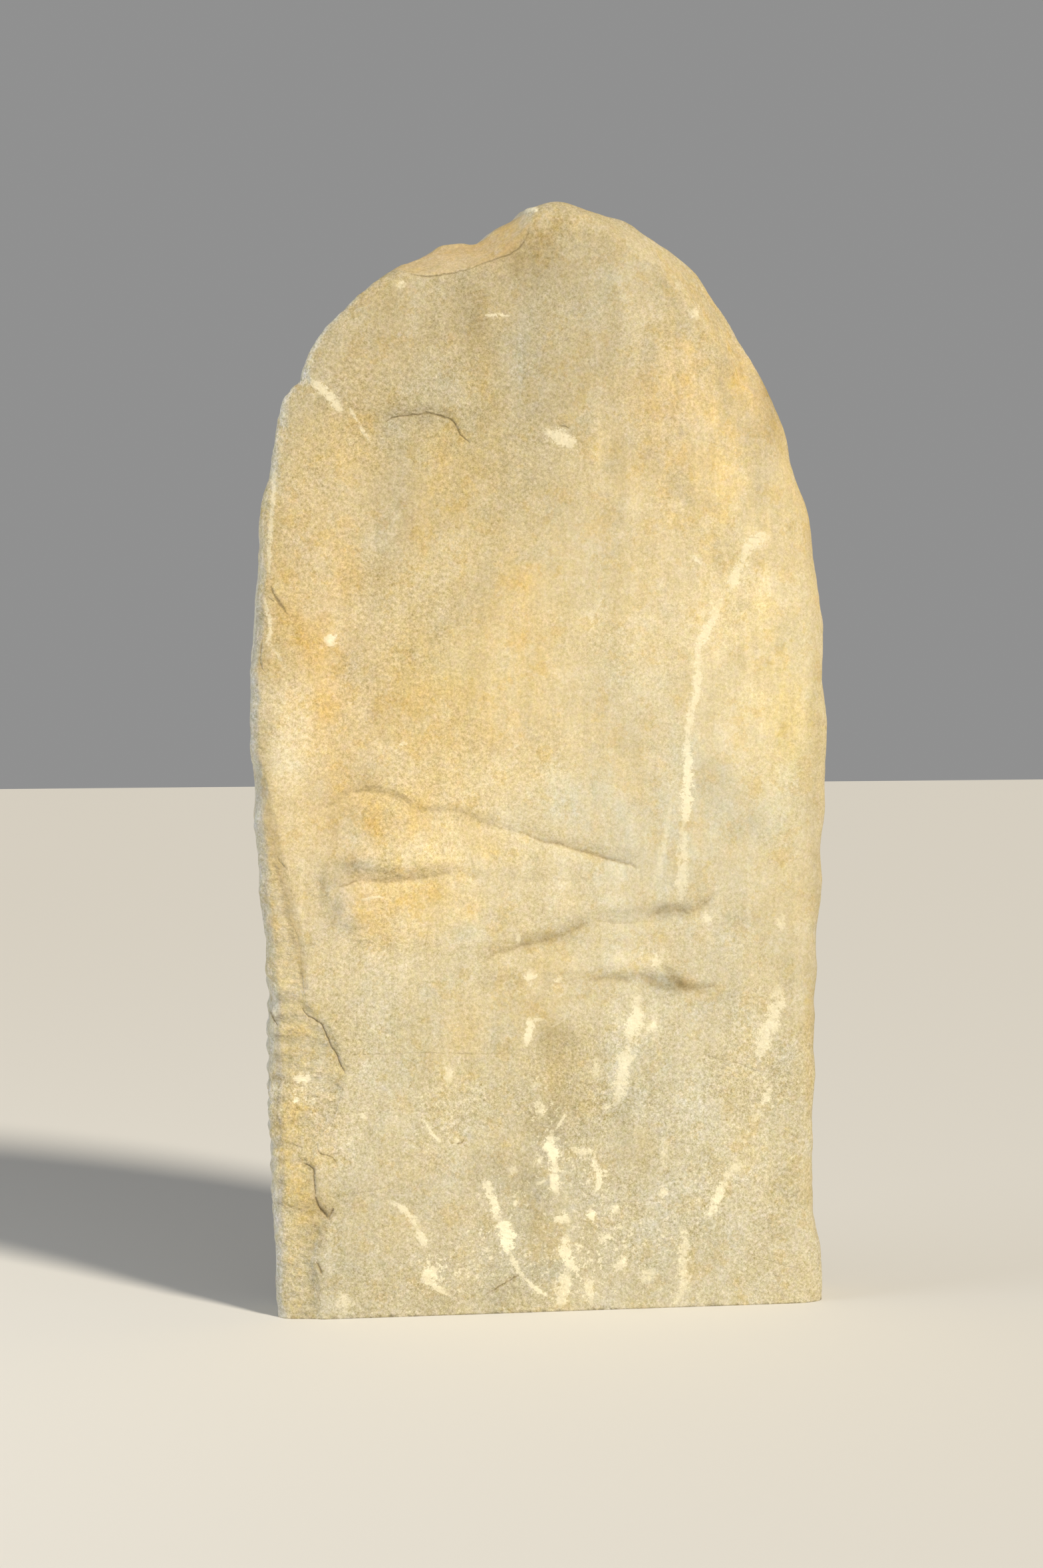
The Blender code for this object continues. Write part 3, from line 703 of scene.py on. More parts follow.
# Each mark is (points, half width, strength).
MARKS = [
    # the long vein of the right side, from its broad head down
    ([(0.270, 0.940), (0.258, 0.938), (0.248, 0.930), (0.242, 0.920)], 0.0085, PLAIN),
    ([(0.242, 0.922), (0.240, 0.913), (0.229, 0.892), (0.222, 0.876)], 0.0062, PLAIN),
    ([(0.211, 0.863), (0.203, 0.844), (0.195, 0.826), (0.185, 0.810), (0.183, 0.797)], 0.0062, PLAIN),
    ([(0.184, 0.800), (0.184, 0.776), (0.182, 0.750), (0.174, 0.723), (0.171, 0.697)], 0.0055, PLAIN),
    ([(0.171, 0.700), (0.171, 0.665), (0.171, 0.623), (0.166, 0.592)], 0.0062, CLEAR),
    ([(0.166, 0.590), (0.166, 0.560), (0.163, 0.523), (0.162, 0.497)], 0.0068, SOFT),
    ([(0.150, 0.620), (0.140, 0.560), (0.130, 0.520)], 0.0040, FAINT),
    # scrapes and spots of the upper face
    ([(0.174, 0.919), (0.183, 0.912), (0.192, 0.906)], 0.0026, PLAIN),
    ([(0.311, 0.810), (0.324, 0.822)], 0.0018, FAINT),
    ([(0.253, 0.836), (0.274, 0.828)], 0.0014, FAINT),
    ([(0.199, 0.733), (0.201, 0.732)], 0.0024, FAINT),
    ([(0.108, 0.919), (0.110, 0.918)], 0.0030, SOFT),
    ([(-0.050, 0.685), (-0.045, 0.687), (-0.036, 0.690)], 0.0026, CLEAR),
    ([(-0.183, 0.691), (-0.177, 0.693), (-0.171, 0.694)], 0.0022, PLAIN),
    ([(-0.152, 0.897), (-0.149, 0.895)], 0.0034, PLAIN),
    ([(-0.270, 0.818), (-0.264, 0.816), (-0.261, 0.812)], 0.0072, BRIGHT),
    ([(-0.274, 0.812), (-0.279, 0.807)], 0.0026, FAINT),
    ([(-0.004, 1.068), (0.006, 1.062), (0.018, 1.058), (0.030, 1.049)], 0.0078, PLAIN),
    ([(0.055, 1.041), (0.058, 1.039)], 0.0045, SOFT),
    # the speckled vein of the upper left
    ([(-0.288, 1.126), (-0.284, 1.122), (-0.266, 1.108), (-0.258, 1.100), (-0.251, 1.088)], 0.0055, PLAIN),
    ([(-0.246, 1.096), (-0.242, 1.093), (-0.229, 1.071), (-0.216, 1.051)], 0.0020, SOFT),
    ([(-0.295, 1.012), (-0.288, 1.010)], 0.0045, FAINT),
    # flecks below the top
    ([(-0.022, 1.331), (-0.012, 1.336)], 0.0040, BRIGHT),
    ([(-0.026, 1.242), (-0.024, 1.241)], 0.0032, PLAIN),
    ([(0.110, 1.184), (0.115, 1.184)], 0.0030, SOFT),
    ([(0.156, 1.246), (0.162, 1.240)], 0.0060, FAINT),
    ([(0.174, 1.214), (0.184, 1.206)], 0.0085, SOFT),
    ([(-0.183, 1.240), (-0.176, 1.239)], 0.0065, PLAIN),
    ([(-0.159, 1.246), (-0.157, 1.244)], 0.0040, FAINT),
    ([(-0.080, 1.204), (-0.070, 1.205), (-0.047, 1.204)], 0.0022, PLAIN),
    ([(-0.251, 1.190), (-0.252, 1.184)], 0.0030, FAINT),
    # the ragged line along the left arris
    ([(-0.330, 1.030), (-0.333, 0.980), (-0.337, 0.935), (-0.338, 0.895)], 0.0026, SOFT),
    ([(-0.345, 0.868), (-0.338, 0.842), (-0.338, 0.822), (-0.341, 0.815), (-0.332, 0.804)], 0.0024, SOFT),
    ([(-0.331, 0.802), (-0.328, 0.799)], 0.0045, CLEAR),
    ([(-0.322, 0.788), (-0.320, 0.786)], 0.0048, CLEAR),
    # blotches beside the broken edge
    ([(-0.308, 0.291), (-0.297, 0.289), (-0.288, 0.291)], 0.0050, CLEAR),
    ([(-0.296, 0.284), (-0.293, 0.280)], 0.0036, CLEAR),
    ([(-0.310, 0.267), (-0.304, 0.264)], 0.0045, BRIGHT),
    ([(-0.284, 0.312), (-0.272, 0.306)], 0.0030, FAINT),
    ([(-0.231, 0.246), (-0.226, 0.242)], 0.0046, PLAIN),
    ([(-0.246, 0.215), (-0.240, 0.213)], 0.0050, SOFT),
    ([(-0.160, 0.266), (-0.156, 0.266)], 0.0035, CLEAR),
    ([(-0.128, 0.300), (-0.122, 0.296), (-0.123, 0.280)], 0.0050, SOFT),
    ([(-0.176, 0.250), (-0.172, 0.244)], 0.0060, FAINT),
    ([(-0.153, 0.239), (-0.151, 0.234)], 0.0045, CLEAR),
    ([(-0.149, 0.229), (-0.141, 0.218), (-0.132, 0.211)], 0.0024, PLAIN),
    ([(-0.117, 0.214), (-0.110, 0.211)], 0.0036, PLAIN),
    ([(-0.256, 0.030), (-0.250, 0.020), (-0.250, 0.010)], 0.0085, SOFT),
    # the left vein of the foot
    ([(-0.193, 0.140), (-0.178, 0.130), (-0.166, 0.118), (-0.162, 0.106)], 0.0040, PLAIN),
    ([(-0.162, 0.110), (-0.156, 0.095), (-0.150, 0.084)], 0.0052, PLAIN),
    ([(-0.156, 0.052), (-0.146, 0.053), (-0.138, 0.056)], 0.0070, CLEAR),
    ([(-0.156, 0.048), (-0.141, 0.036), (-0.122, 0.025)], 0.0042, PLAIN),
    ([(-0.170, 0.066), (-0.167, 0.065)], 0.0035, PLAIN),
    # the middle vein of the foot
    ([(-0.080, 0.162), (-0.077, 0.156), (-0.069, 0.136), (-0.062, 0.113)], 0.0055, CLEAR),
    ([(-0.064, 0.114), (-0.056, 0.104), (-0.052, 0.092), (-0.049, 0.073)], 0.0080, BRIGHT),
    ([(-0.048, 0.074), (-0.040, 0.054), (-0.030, 0.042)], 0.0034, PLAIN),
    ([(-0.034, 0.046), (-0.024, 0.036), (-0.013, 0.026), (-0.002, 0.019)], 0.0024, CLEAR),
    ([(-0.080, 0.080), (-0.076, 0.078)], 0.0065, CLEAR),
    ([(-0.045, 0.136), (-0.036, 0.132)], 0.0034, PLAIN),
    ([(-0.052, 0.178), (-0.040, 0.172)], 0.0045, SOFT),
    # the bright blot above it, with its arms
    ([(0.003, 0.217), (0.001, 0.205), (0.004, 0.192), (0.008, 0.180)], 0.0082, BRIGHT),
    ([(0.008, 0.182), (0.005, 0.160), (0.010, 0.145)], 0.0068, CLEAR),
    ([(-0.002, 0.162), (-0.017, 0.156)], 0.0018, SOFT),
    ([(-0.008, 0.192), (-0.015, 0.178)], 0.0020, SOFT),
    ([(0.023, 0.247), (0.015, 0.233), (0.008, 0.221)], 0.0016, PLAIN),
    ([(0.027, 0.199), (0.038, 0.195), (0.057, 0.195)], 0.0036, PLAIN),
    ([(0.056, 0.190), (0.057, 0.178), (0.062, 0.160), (0.057, 0.144)], 0.0040, CLEAR),
    ([(-0.020, 0.279), (-0.015, 0.277)], 0.0052, PLAIN),
    ([(-0.004, 0.274), (-0.001, 0.271)], 0.0045, BRIGHT),
    ([(-0.010, 0.262), (-0.011, 0.250), (-0.012, 0.238)], 0.0062, PLAIN),
    ([(-0.024, 0.360), (-0.024, 0.345), (-0.027, 0.325)], 0.0050, CLEAR),
    ([(-0.020, 0.357), (-0.006, 0.357)], 0.0026, PLAIN),
    ([(0.003, 0.348), (0.012, 0.352), (0.021, 0.358)], 0.0012, FAINT),
    ([(0.027, 0.345), (0.047, 0.352)], 0.0012, FAINT),
    # the broad veins under the lower dagger
    ([(0.110, 0.372), (0.104, 0.350), (0.099, 0.330)], 0.0095, CLEAR),
    ([(0.098, 0.325), (0.092, 0.300), (0.088, 0.275), (0.084, 0.256)], 0.0090, PLAIN),
    ([(0.122, 0.348), (0.130, 0.344)], 0.0098, CLEAR),
    ([(0.068, 0.249), (0.076, 0.247)], 0.0045, CLEAR),
    ([(0.058, 0.310), (0.057, 0.285)], 0.0040, SOFT),
    ([(0.145, 0.215), (0.144, 0.190), (0.140, 0.165)], 0.0040, FAINT),
    ([(0.136, 0.140), (0.147, 0.145)], 0.0050, PLAIN),
    ([(0.008, 0.112), (0.018, 0.114), (0.026, 0.110)], 0.0060, CLEAR),
    ([(0.022, 0.092), (0.020, 0.078), (0.024, 0.060), (0.025, 0.050)], 0.0068, CLEAR),
    ([(0.024, 0.050), (0.018, 0.030), (0.014, 0.005)], 0.0080, PLAIN),
    ([(0.051, 0.123), (0.055, 0.110)], 0.0055, BRIGHT),
    ([(0.078, 0.126), (0.086, 0.121)], 0.0062, CLEAR),
    ([(0.064, 0.084), (0.074, 0.092)], 0.0055, CLEAR),
    ([(0.083, 0.048), (0.090, 0.058), (0.096, 0.064)], 0.0060, PLAIN),
    ([(0.048, 0.040), (0.052, 0.010)], 0.0070, PLAIN),
    ([(0.112, 0.040), (0.135, 0.044)], 0.0070, SOFT),
    ([(0.120, 0.116), (0.124, 0.114)], 0.0040, FAINT),
    # the right vein of the foot
    ([(0.285, 0.390), (0.284, 0.365), (0.272, 0.340), (0.262, 0.308)], 0.0095, PLAIN),
    ([(0.276, 0.268), (0.272, 0.256), (0.262, 0.245)], 0.0055, PLAIN),
    ([(0.262, 0.240), (0.254, 0.226)], 0.0035, SOFT),
    ([(0.240, 0.203), (0.243, 0.201)], 0.0055, CLEAR),
    ([(0.243, 0.178), (0.232, 0.170), (0.218, 0.156)], 0.0055, SOFT),
    ([(0.218, 0.156), (0.210, 0.135), (0.200, 0.112)], 0.0060, CLEAR),
    ([(0.163, 0.100), (0.170, 0.080), (0.166, 0.058), (0.168, 0.030), (0.158, 0.006)], 0.0052, SOFT),
    ([(0.300, 0.178), (0.308, 0.184)], 0.0012, PLAIN),
    ([(0.293, 0.126), (0.297, 0.124)], 0.0020, SOFT),
    ([(0.288, 0.480), (0.289, 0.462)], 0.0055, SOFT),
    # spots between the daggers
    ([(0.193, 0.482), (0.197, 0.470)], 0.0058, PLAIN),
    ([(-0.024, 0.416), (-0.023, 0.402)], 0.0068, CLEAR),
    ([(-0.038, 0.463), (-0.037, 0.450)], 0.0030, PLAIN),
    ([(0.018, 0.411), (0.021, 0.409)], 0.0034, FAINT),
    ([(0.005, 0.405), (0.013, 0.403)], 0.0030, PLAIN),
    ([(0.024, 0.404), (0.029, 0.400)], 0.0034, SOFT),
    ([(0.104, 0.384), (0.114, 0.377)], 0.0070, SOFT),
    ([(0.127, 0.428), (0.135, 0.424)], 0.0078, PLAIN),
    ([(-0.008, 0.552), (-0.005, 0.549)], 0.0030, FAINT),
    ([(-0.009, 0.538), (-0.007, 0.537)], 0.0026, PLAIN),
    ([(-0.231, 0.505), (-0.215, 0.508), (-0.199, 0.509)], 0.0016, SOFT),
]
marks = make_guide("white marks", MARKS)

# %% Tree: attributes for the paint
PAINT_GUIDES = {"crack": cracks, "dagger": dagger_lines, "mark": marks}
PAINT_SIZES = {**CUT_SIZES, **PAINT_GUIDES}
HOLLOW_BLUR = 8


def attribute_tree():
    tree, given = start_tree("attributes for the paint", PAINT_SIZES)
    place = node(tree, "GeometryNodeInputPosition")
    normal = node(tree, "GeometryNodeInputNormal")
    x, _, z = parts_of(place)
    cut = wandering(place, given["Wander"], given["Wander size"])
    wanted = {}
    for label, flat in (("crack", cut), ("dagger", cut), ("mark", vector_of(tree, x, 0.0, z))):
        point, half_width, strength = nearest_on(tree, given[label], flat)
        step = flat - point
        wanted[f"{label} step"] = step
        wanted[f"{label} line"] = vector_of(tree, length(step), half_width, strength)
    blurred = node(
        tree, "GeometryNodeBlurAttribute", {"data_type": "FLOAT_VECTOR"},
        {"Value": place, "Iterations": HOLLOW_BLUR},
    )
    left_side = rise(parts_of(normal)[0], -0.45, -0.80)
    wanted["form"] = vector_of(tree, dot(blurred - place, normal), left_side, 0.0)
    geometry = given["Geometry"]
    for label, value in wanted.items():
        geometry = node(
            tree, "GeometryNodeStoreNamedAttribute", {"data_type": "FLOAT_VECTOR", "domain": "POINT"},
            {"Geometry": geometry, "Name": label, "Value": value},
        )
    geometry = node(tree, "GeometryNodeSetShadeSmooth", sockets={"Geometry": geometry, "Shade Smooth": True})
    finish_tree(geometry, skin_material)
    return tree


run_tree(stone, attribute_tree(), PAINT_SIZES)
for guide in PAINT_GUIDES.values():
    bpy.data.objects.remove(guide, do_unlink=True)

# %% [markdown]
# ## Stains and painted shade
# Four things vary over the face without any sharp edge. One is how much light the stone gives back: it is
# bleached here and grimy there, and the same list paints shade into the grooves of the daggers, along the
# lip of the upper face and down the left rim, and highlight on the ridges beside the daggers. Another is
# iron, which turns it ochre, or its lack, which leaves it grey.
# The other two are a slight green or rosy cast, and how thick the chalky crumbs lie. So there are four lists
# of soft ellipses, each with a place, a size and an amount that may be negative. Their sums go on the
# points as four attributes, and noise in the material breaks them up afterwards.

# %% Stains and painted shade as attributes
# Each is (x, z, half width, half height, amount). The spall at the top is all that lies above its lip,
# the left edge of the foot is broken away as far as a wandering line, and the strip beside the left
# rim, as wide as it says at each height, is painted a darker grey: painted shade of the side.
SPALL_LIP = (
    (-0.200, -0.166, -0.144, -0.118, -0.096, -0.073, -0.050, -0.036, -0.025),
    (1.262, 1.252, 1.250, 1.253, 1.260, 1.269, 1.277, 1.286, 1.310),
)
BROKEN_EDGE = (
    (0.000, 0.020, 0.040, 0.060, 0.075, 0.090, 0.110, 0.125, 0.140, 0.170, 0.187, 0.205, 0.225,
     0.240, 0.265, 0.295, 0.325, 0.345, 0.368, 0.400, 0.440, 0.480, 0.530, 0.560, 0.600, 0.660),
    (-0.285, -0.280, -0.285, -0.283, -0.288, -0.280, -0.272, -0.270, -0.285, -0.288, -0.290, -0.285, -0.278,
     -0.265, -0.256, -0.250, -0.262, -0.270, -0.288, -0.293, -0.300, -0.308, -0.320, -0.328, -0.337, -0.350),
)
STRIP = (
    (0.000, 0.050, 0.100, 0.150, 0.200, 0.300, 0.350, 0.400, 0.500, 0.600, 0.750, 0.950, 1.050, 1.100),
    (0.005, 0.007, 0.009, 0.013, 0.016, 0.017, 0.014, 0.010, 0.011, 0.010, 0.010, 0.008, 0.006, -0.004),
)
# The painted shade among the stains fades out behind the face in the same way.
FACE_FADE = 0.02  # the stains fade out over this much of the depth behind the face
FINE_BAND = 0.008  # the net is fine, so the rim is looked for this far above and below a level
STAINS_AND_SHADE = {
    "bleach and shade": [
        # top: grey and grimy in the middle, paler to the right
        (-0.025, 1.270, 0.040, 0.035, -0.20), (-0.092, 1.220, 0.022, 0.050, -0.15),
        # the first below is painted shadow along the crack at the lip of the upper face
        (-0.160, 1.085, 0.055, 0.014, -0.14), (-0.090, 1.055, 0.030, 0.025, -0.04),
        (-0.050, 1.020, 0.030, 0.020, -0.04), (-0.020, 1.130, 0.030, 0.060, -0.06),
        (0.110, 1.180, 0.050, 0.110, 0.08), (0.200, 1.050, 0.050, 0.110, 0.10),
        (-0.270, 1.010, 0.040, 0.060, 0.08), (-0.190, 0.990, 0.030, 0.060, -0.08),
        # the upper face
        (-0.210, 0.900, 0.030, 0.040, -0.10), (-0.225, 0.770, 0.030, 0.050, -0.10),
        (-0.150, 0.830, 0.040, 0.050, -0.06), (-0.180, 0.735, 0.040, 0.030, -0.06),
        (-0.220, 0.660, 0.035, 0.025, -0.07), (0.065, 0.745, 0.020, 0.030, -0.12),
        (0.110, 0.690, 0.035, 0.045, -0.08), (0.200, 0.645, 0.022, 0.030, -0.13),
        (0.245, 0.600, 0.025, 0.030, -0.13), (0.250, 0.800, 0.045, 0.110, 0.07),
        (-0.310, 0.680, 0.025, 0.050, 0.12), (-0.310, 0.740, 0.020, 0.020, 0.10),
        (-0.290, 0.600, 0.025, 0.030, 0.07), (0.000, 0.650, 0.030, 0.030, 0.09),
        (-0.080, 0.640, 0.050, 0.040, 0.05),
        # round the daggers: mostly painted shade along the grooves and painted highlight on the ridges beside
        # them, with a few real grey and pale spots
        (-0.160, 0.558, 0.075, 0.012, 0.13), (-0.190, 0.535, 0.050, 0.008, -0.07),
        (-0.272, 0.520, 0.013, 0.030, -0.20), (-0.230, 0.548, 0.020, 0.010, -0.08),
        (-0.200, 0.490, 0.050, 0.030, 0.05), (0.030, 0.520, 0.080, 0.020, 0.07),
        (-0.200, 0.420, 0.060, 0.030, 0.04), (0.090, 0.432, 0.050, 0.016, 0.09),
        (0.085, 0.556, 0.035, 0.008, -0.08), (0.150, 0.392, 0.024, 0.010, -0.10),
        (0.060, 0.403, 0.045, 0.012, -0.08), (0.160, 0.487, 0.040, 0.012, -0.10),
        (-0.010, 0.452, 0.060, 0.012, -0.08), (-0.290, 0.455, 0.012, 0.030, -0.10),
        (-0.262, 0.492, 0.013, 0.022, -0.16), (-0.250, 0.548, 0.018, 0.010, -0.14),
        (-0.242, 0.476, 0.014, 0.009, -0.14), (0.157, 0.399, 0.013, 0.012, -0.24),
        (0.148, 0.410, 0.007, 0.007, -0.08), (0.182, 0.392, 0.020, 0.008, -0.20),
        (0.128, 0.396, 0.016, 0.009, -0.18), (0.080, 0.404, 0.020, 0.008, -0.12),
        (-0.030, 0.447, 0.008, 0.008, -0.15), (0.010, 0.457, 0.030, 0.008, -0.12),
        (0.037, 0.464, 0.014, 0.010, -0.08), (0.150, 0.483, 0.025, 0.009, -0.10),
        (0.140, 0.400, 0.012, 0.006, 0.08), (0.132, 0.427, 0.018, 0.014, 0.12),
        (-0.024, 0.403, 0.010, 0.012, 0.16),
        # the foot
        (0.010, 0.335, 0.035, 0.030, -0.16), (0.015, 0.265, 0.040, 0.040, -0.12),
        (0.220, 0.380, 0.040, 0.035, -0.08), (-0.065, 0.185, 0.030, 0.015, -0.07),
        (-0.040, 0.205, 0.016, 0.030, 0.06), (0.110, 0.185, 0.025, 0.035, -0.09),
        (-0.020, 0.125, 0.015, 0.040, -0.08), (-0.282, 0.115, 0.012, 0.030, -0.12),
        (-0.285, 0.065, 0.010, 0.030, -0.14), (-0.290, 0.285, 0.020, 0.025, 0.07),
        (0.192, 0.100, 0.010, 0.010, -0.14),
        # the side bands
        (0.335, 0.600, 0.018, 0.450, -0.14), (0.280, 1.100, 0.020, 0.070, -0.16),
        # broad ones: the right half of the upper face is clean and the foot is not; the left rim is darker,
        # mostly painted shade of the side, and thin ones by the daggers paint shade and highlight
        (0.220, 0.980, 0.140, 0.280, 0.11), (0.250, 0.850, 0.045, 0.060, 0.08),
        (0.200, 1.150, 0.050, 0.070, 0.08), (0.050, 0.845, 0.040, 0.030, 0.05),
        (0.300, 0.720, 0.040, 0.090, 0.06), (-0.320, 0.820, 0.050, 0.080, -0.12),
        (-0.180, 0.950, 0.035, 0.050, -0.06), (-0.090, 0.860, 0.050, 0.050, -0.07),
        (-0.270, 0.620, 0.045, 0.035, -0.13), (-0.265, 0.510, 0.035, 0.025, -0.10),
        (-0.170, 0.740, 0.060, 0.050, -0.06), (-0.100, 0.690, 0.040, 0.050, -0.06),
        (-0.120, 0.548, 0.110, 0.012, 0.12), (0.250, 0.370, 0.035, 0.060, 0.07),
        (0.110, 0.330, 0.050, 0.050, 0.06), (-0.190, 0.030, 0.110, 0.050, -0.10),
        (-0.010, 0.060, 0.070, 0.050, -0.08), (-0.010, 0.235, 0.030, 0.035, -0.10),
        (-0.070, 0.160, 0.040, 0.020, -0.08), (-0.015, 1.285, 0.020, 0.020, -0.08),
        (-0.200, 1.220, 0.035, 0.025, -0.08), (-0.165, 0.605, 0.035, 0.014, -0.09),
        (-0.190, 0.558, 0.020, 0.010, 0.06), (-0.095, 0.560, 0.020, 0.015, 0.06),
        (0.000, 0.280, 0.022, 0.020, 0.09), (-0.010, 0.220, 0.015, 0.020, -0.06),
        (0.050, 0.835, 0.050, 0.015, 0.04), (0.220, 1.100, 0.022, 0.060, 0.06),
        (0.160, 1.050, 0.040, 0.050, 0.04), (0.145, 1.190, 0.020, 0.030, 0.06),
        (-0.040, 0.470, 0.040, 0.014, 0.05), (-0.050, 1.140, 0.020, 0.040, 0.04),
        (-0.090, 0.880, 0.020, 0.020, -0.03), (0.272, 1.105, 0.014, 0.045, -0.10),
        (0.100, 0.425, 0.060, 0.012, 0.09), (0.080, 0.360, 0.070, 0.022, 0.07),
        (0.030, 0.500, 0.070, 0.010, 0.07), (0.250, 0.200, 0.035, 0.060, 0.07),
        (0.245, 0.310, 0.025, 0.020, 0.05), (-0.250, 0.220, 0.035, 0.040, 0.06),
        (-0.220, 1.050, 0.020, 0.030, 0.05), (-0.310, 0.960, 0.030, 0.060, -0.08),
        (0.270, 0.760, 0.035, 0.160, 0.05), (-0.230, 0.650, 0.030, 0.150, -0.03),
        (0.250, 1.010, 0.030, 0.040, 0.05), (-0.130, 0.270, 0.060, 0.030, 0.04),
        (0.245, 0.800, 0.040, 0.070, 0.07), (0.200, 0.260, 0.080, 0.090, 0.09),
        (-0.080, 0.020, 0.050, 0.020, -0.10), (0.000, 0.160, 0.080, 0.040, -0.08),
        (-0.240, 0.880, 0.030, 0.040, -0.06), (-0.240, 0.570, 0.040, 0.030, -0.08),
        (-0.040, 0.560, 0.070, 0.030, 0.07), (0.070, 1.050, 0.050, 0.060, 0.09),
        (-0.130, 0.480, 0.060, 0.030, 0.08), (0.120, 1.190, 0.060, 0.070, 0.06),
        (0.240, 0.940, 0.030, 0.050, 0.09), (-0.240, 0.080, 0.030, 0.080, -0.07),
        (0.050, 0.830, 0.040, 0.020, 0.06), (-0.240, 0.640, 0.025, 0.015, 0.08),
        (0.040, 0.420, 0.030, 0.020, 0.07), (0.200, 0.110, 0.020, 0.030, 0.10),
        (-0.305, 0.320, 0.015, 0.030, 0.10), (-0.220, 0.860, 0.020, 0.040, -0.07),
        (-0.275, 1.110, 0.020, 0.015, -0.10), (-0.080, 0.800, 0.012, 0.050, -0.05),
        (0.150, 1.020, 0.040, 0.080, 0.06), (-0.345, 0.720, 0.016, 0.240, -0.14),
        (-0.160, 0.430, 0.040, 0.050, 0.05), (0.000, 0.205, 0.020, 0.020, -0.08),
        (-0.285, 0.160, 0.012, 0.030, -0.08),
    ],
    "lime": [
        # greenish to the right, and rosier where it is negative
        (0.300, 0.715, 0.035, 0.080, 0.045), (0.280, 0.560, 0.040, 0.100, 0.015),
        (-0.100, 1.070, 0.060, 0.050, 0.020), (-0.110, 0.780, 0.050, 0.040, 0.020),
        (-0.270, 0.760, 0.060, 0.260, -0.028), (0.150, 1.100, 0.070, 0.100, -0.028),
        (-0.240, 0.500, 0.040, 0.060, -0.020), (-0.270, 0.240, 0.040, 0.050, -0.020),
        (-0.150, 0.130, 0.090, 0.090, -0.012), (-0.110, 1.285, 0.060, 0.020, -0.040),
        (0.265, 1.110, 0.030, 0.060, -0.025),
    ],
    "chalk": [
        # where white crumbs lie thick
        (-0.070, 0.110, 0.045, 0.060, 1.0), (0.030, 0.060, 0.060, 0.070, 1.0),
        (0.005, 0.190, 0.030, 0.045, 0.9), (0.100, 0.330, 0.035, 0.060, 0.8),
        (-0.290, 0.270, 0.030, 0.040, 0.8), (0.210, 0.150, 0.035, 0.050, 0.8),
        (-0.140, 0.050, 0.045, 0.040, 1.0), (0.060, 0.180, 0.025, 0.040, 0.9),
        (0.110, 0.090, 0.050, 0.060, 0.7), (-0.010, 0.260, 0.030, 0.040, 0.7),
        (-0.150, 0.240, 0.050, 0.040, 0.6), (0.270, 0.260, 0.030, 0.060, 0.6),
        (0.275, 0.470, 0.030, 0.050, 0.5), (0.010, 0.400, 0.060, 0.030, 0.6),
        (0.170, 0.050, 0.030, 0.060, 0.6), (-0.270, 1.100, 0.030, 0.030, 0.6),
        (-0.320, 0.700, 0.030, 0.060, 0.5), (0.015, 1.055, 0.020, 0.020, 0.5),
    ],
    "iron": [
        # the spall and the top
        (-0.060, 1.295, 0.060, 0.030, 0.25), (-0.030, 1.150, 0.025, 0.050, -0.25),
        (0.060, 1.230, 0.060, 0.060, -0.12), (0.100, 1.070, 0.040, 0.040, -0.10),
        (-0.135, 1.120, 0.030, 0.030, -0.10), (0.220, 1.150, 0.035, 0.110, 0.06),
        (-0.250, 1.050, 0.050, 0.050, 0.14), (-0.130, 1.040, 0.040, 0.040, 0.12),
        (-0.080, 1.120, 0.025, 0.040, 0.10), (-0.190, 1.080, 0.020, 0.030, -0.08),
        # the upper face: ochre on the left, grey on the right
        (-0.325, 0.850, 0.018, 0.040, 0.20), (-0.290, 0.820, 0.030, 0.040, 0.20),
        (-0.240, 0.900, 0.030, 0.030, 0.14), (-0.270, 0.740, 0.025, 0.030, 0.18),
        (-0.150, 0.760, 0.055, 0.070, 0.22), (-0.060, 0.700, 0.030, 0.020, 0.10),
        (-0.200, 0.610, 0.060, 0.030, 0.24), (-0.120, 0.640, 0.060, 0.050, 0.08),
        (-0.030, 0.880, 0.025, 0.030, 0.16), (-0.120, 0.900, 0.030, 0.040, 0.10),
        (-0.075, 0.905, 0.020, 0.025, -0.12), (-0.215, 0.930, 0.022, 0.022, -0.12),
        (-0.200, 0.865, 0.016, 0.014, -0.10), (-0.230, 0.726, 0.016, 0.016, -0.12),
        (0.120, 0.740, 0.120, 0.120, -0.13), (0.170, 0.640, 0.060, 0.060, -0.14),
        (0.030, 0.620, 0.060, 0.040, -0.14), (0.260, 0.600, 0.050, 0.040, -0.14),
        (0.292, 0.720, 0.022, 0.065, 0.24), (0.330, 0.980, 0.020, 0.080, 0.14),
        (-0.320, 0.700, 0.025, 0.040, -0.10),
        # round the daggers
        (-0.185, 0.510, 0.060, 0.028, 0.24), (-0.265, 0.520, 0.018, 0.034, -0.20),
        (-0.242, 0.588, 0.010, 0.022, -0.22), (-0.228, 0.548, 0.016, 0.009, -0.24),
        (-0.070, 0.560, 0.030, 0.025, 0.10), (-0.100, 0.466, 0.012, 0.010, -0.18),
        (0.135, 0.402, 0.022, 0.014, -0.20), (0.180, 0.395, 0.020, 0.015, 0.16),
        (0.200, 0.450, 0.040, 0.040, -0.10), (-0.010, 0.440, 0.050, 0.050, 0.09),
        # the foot
        (-0.300, 0.450, 0.010, 0.100, 0.06), (-0.310, 0.200, 0.022, 0.060, 0.26),
        (-0.295, 0.120, 0.022, 0.040, 0.20), (-0.320, 0.300, 0.022, 0.050, 0.14),
        (0.010, 0.310, 0.035, 0.070, 0.16), (-0.100, 0.330, 0.050, 0.050, 0.10),
        (0.100, 0.270, 0.040, 0.050, -0.12), (0.180, 0.240, 0.050, 0.060, -0.09),
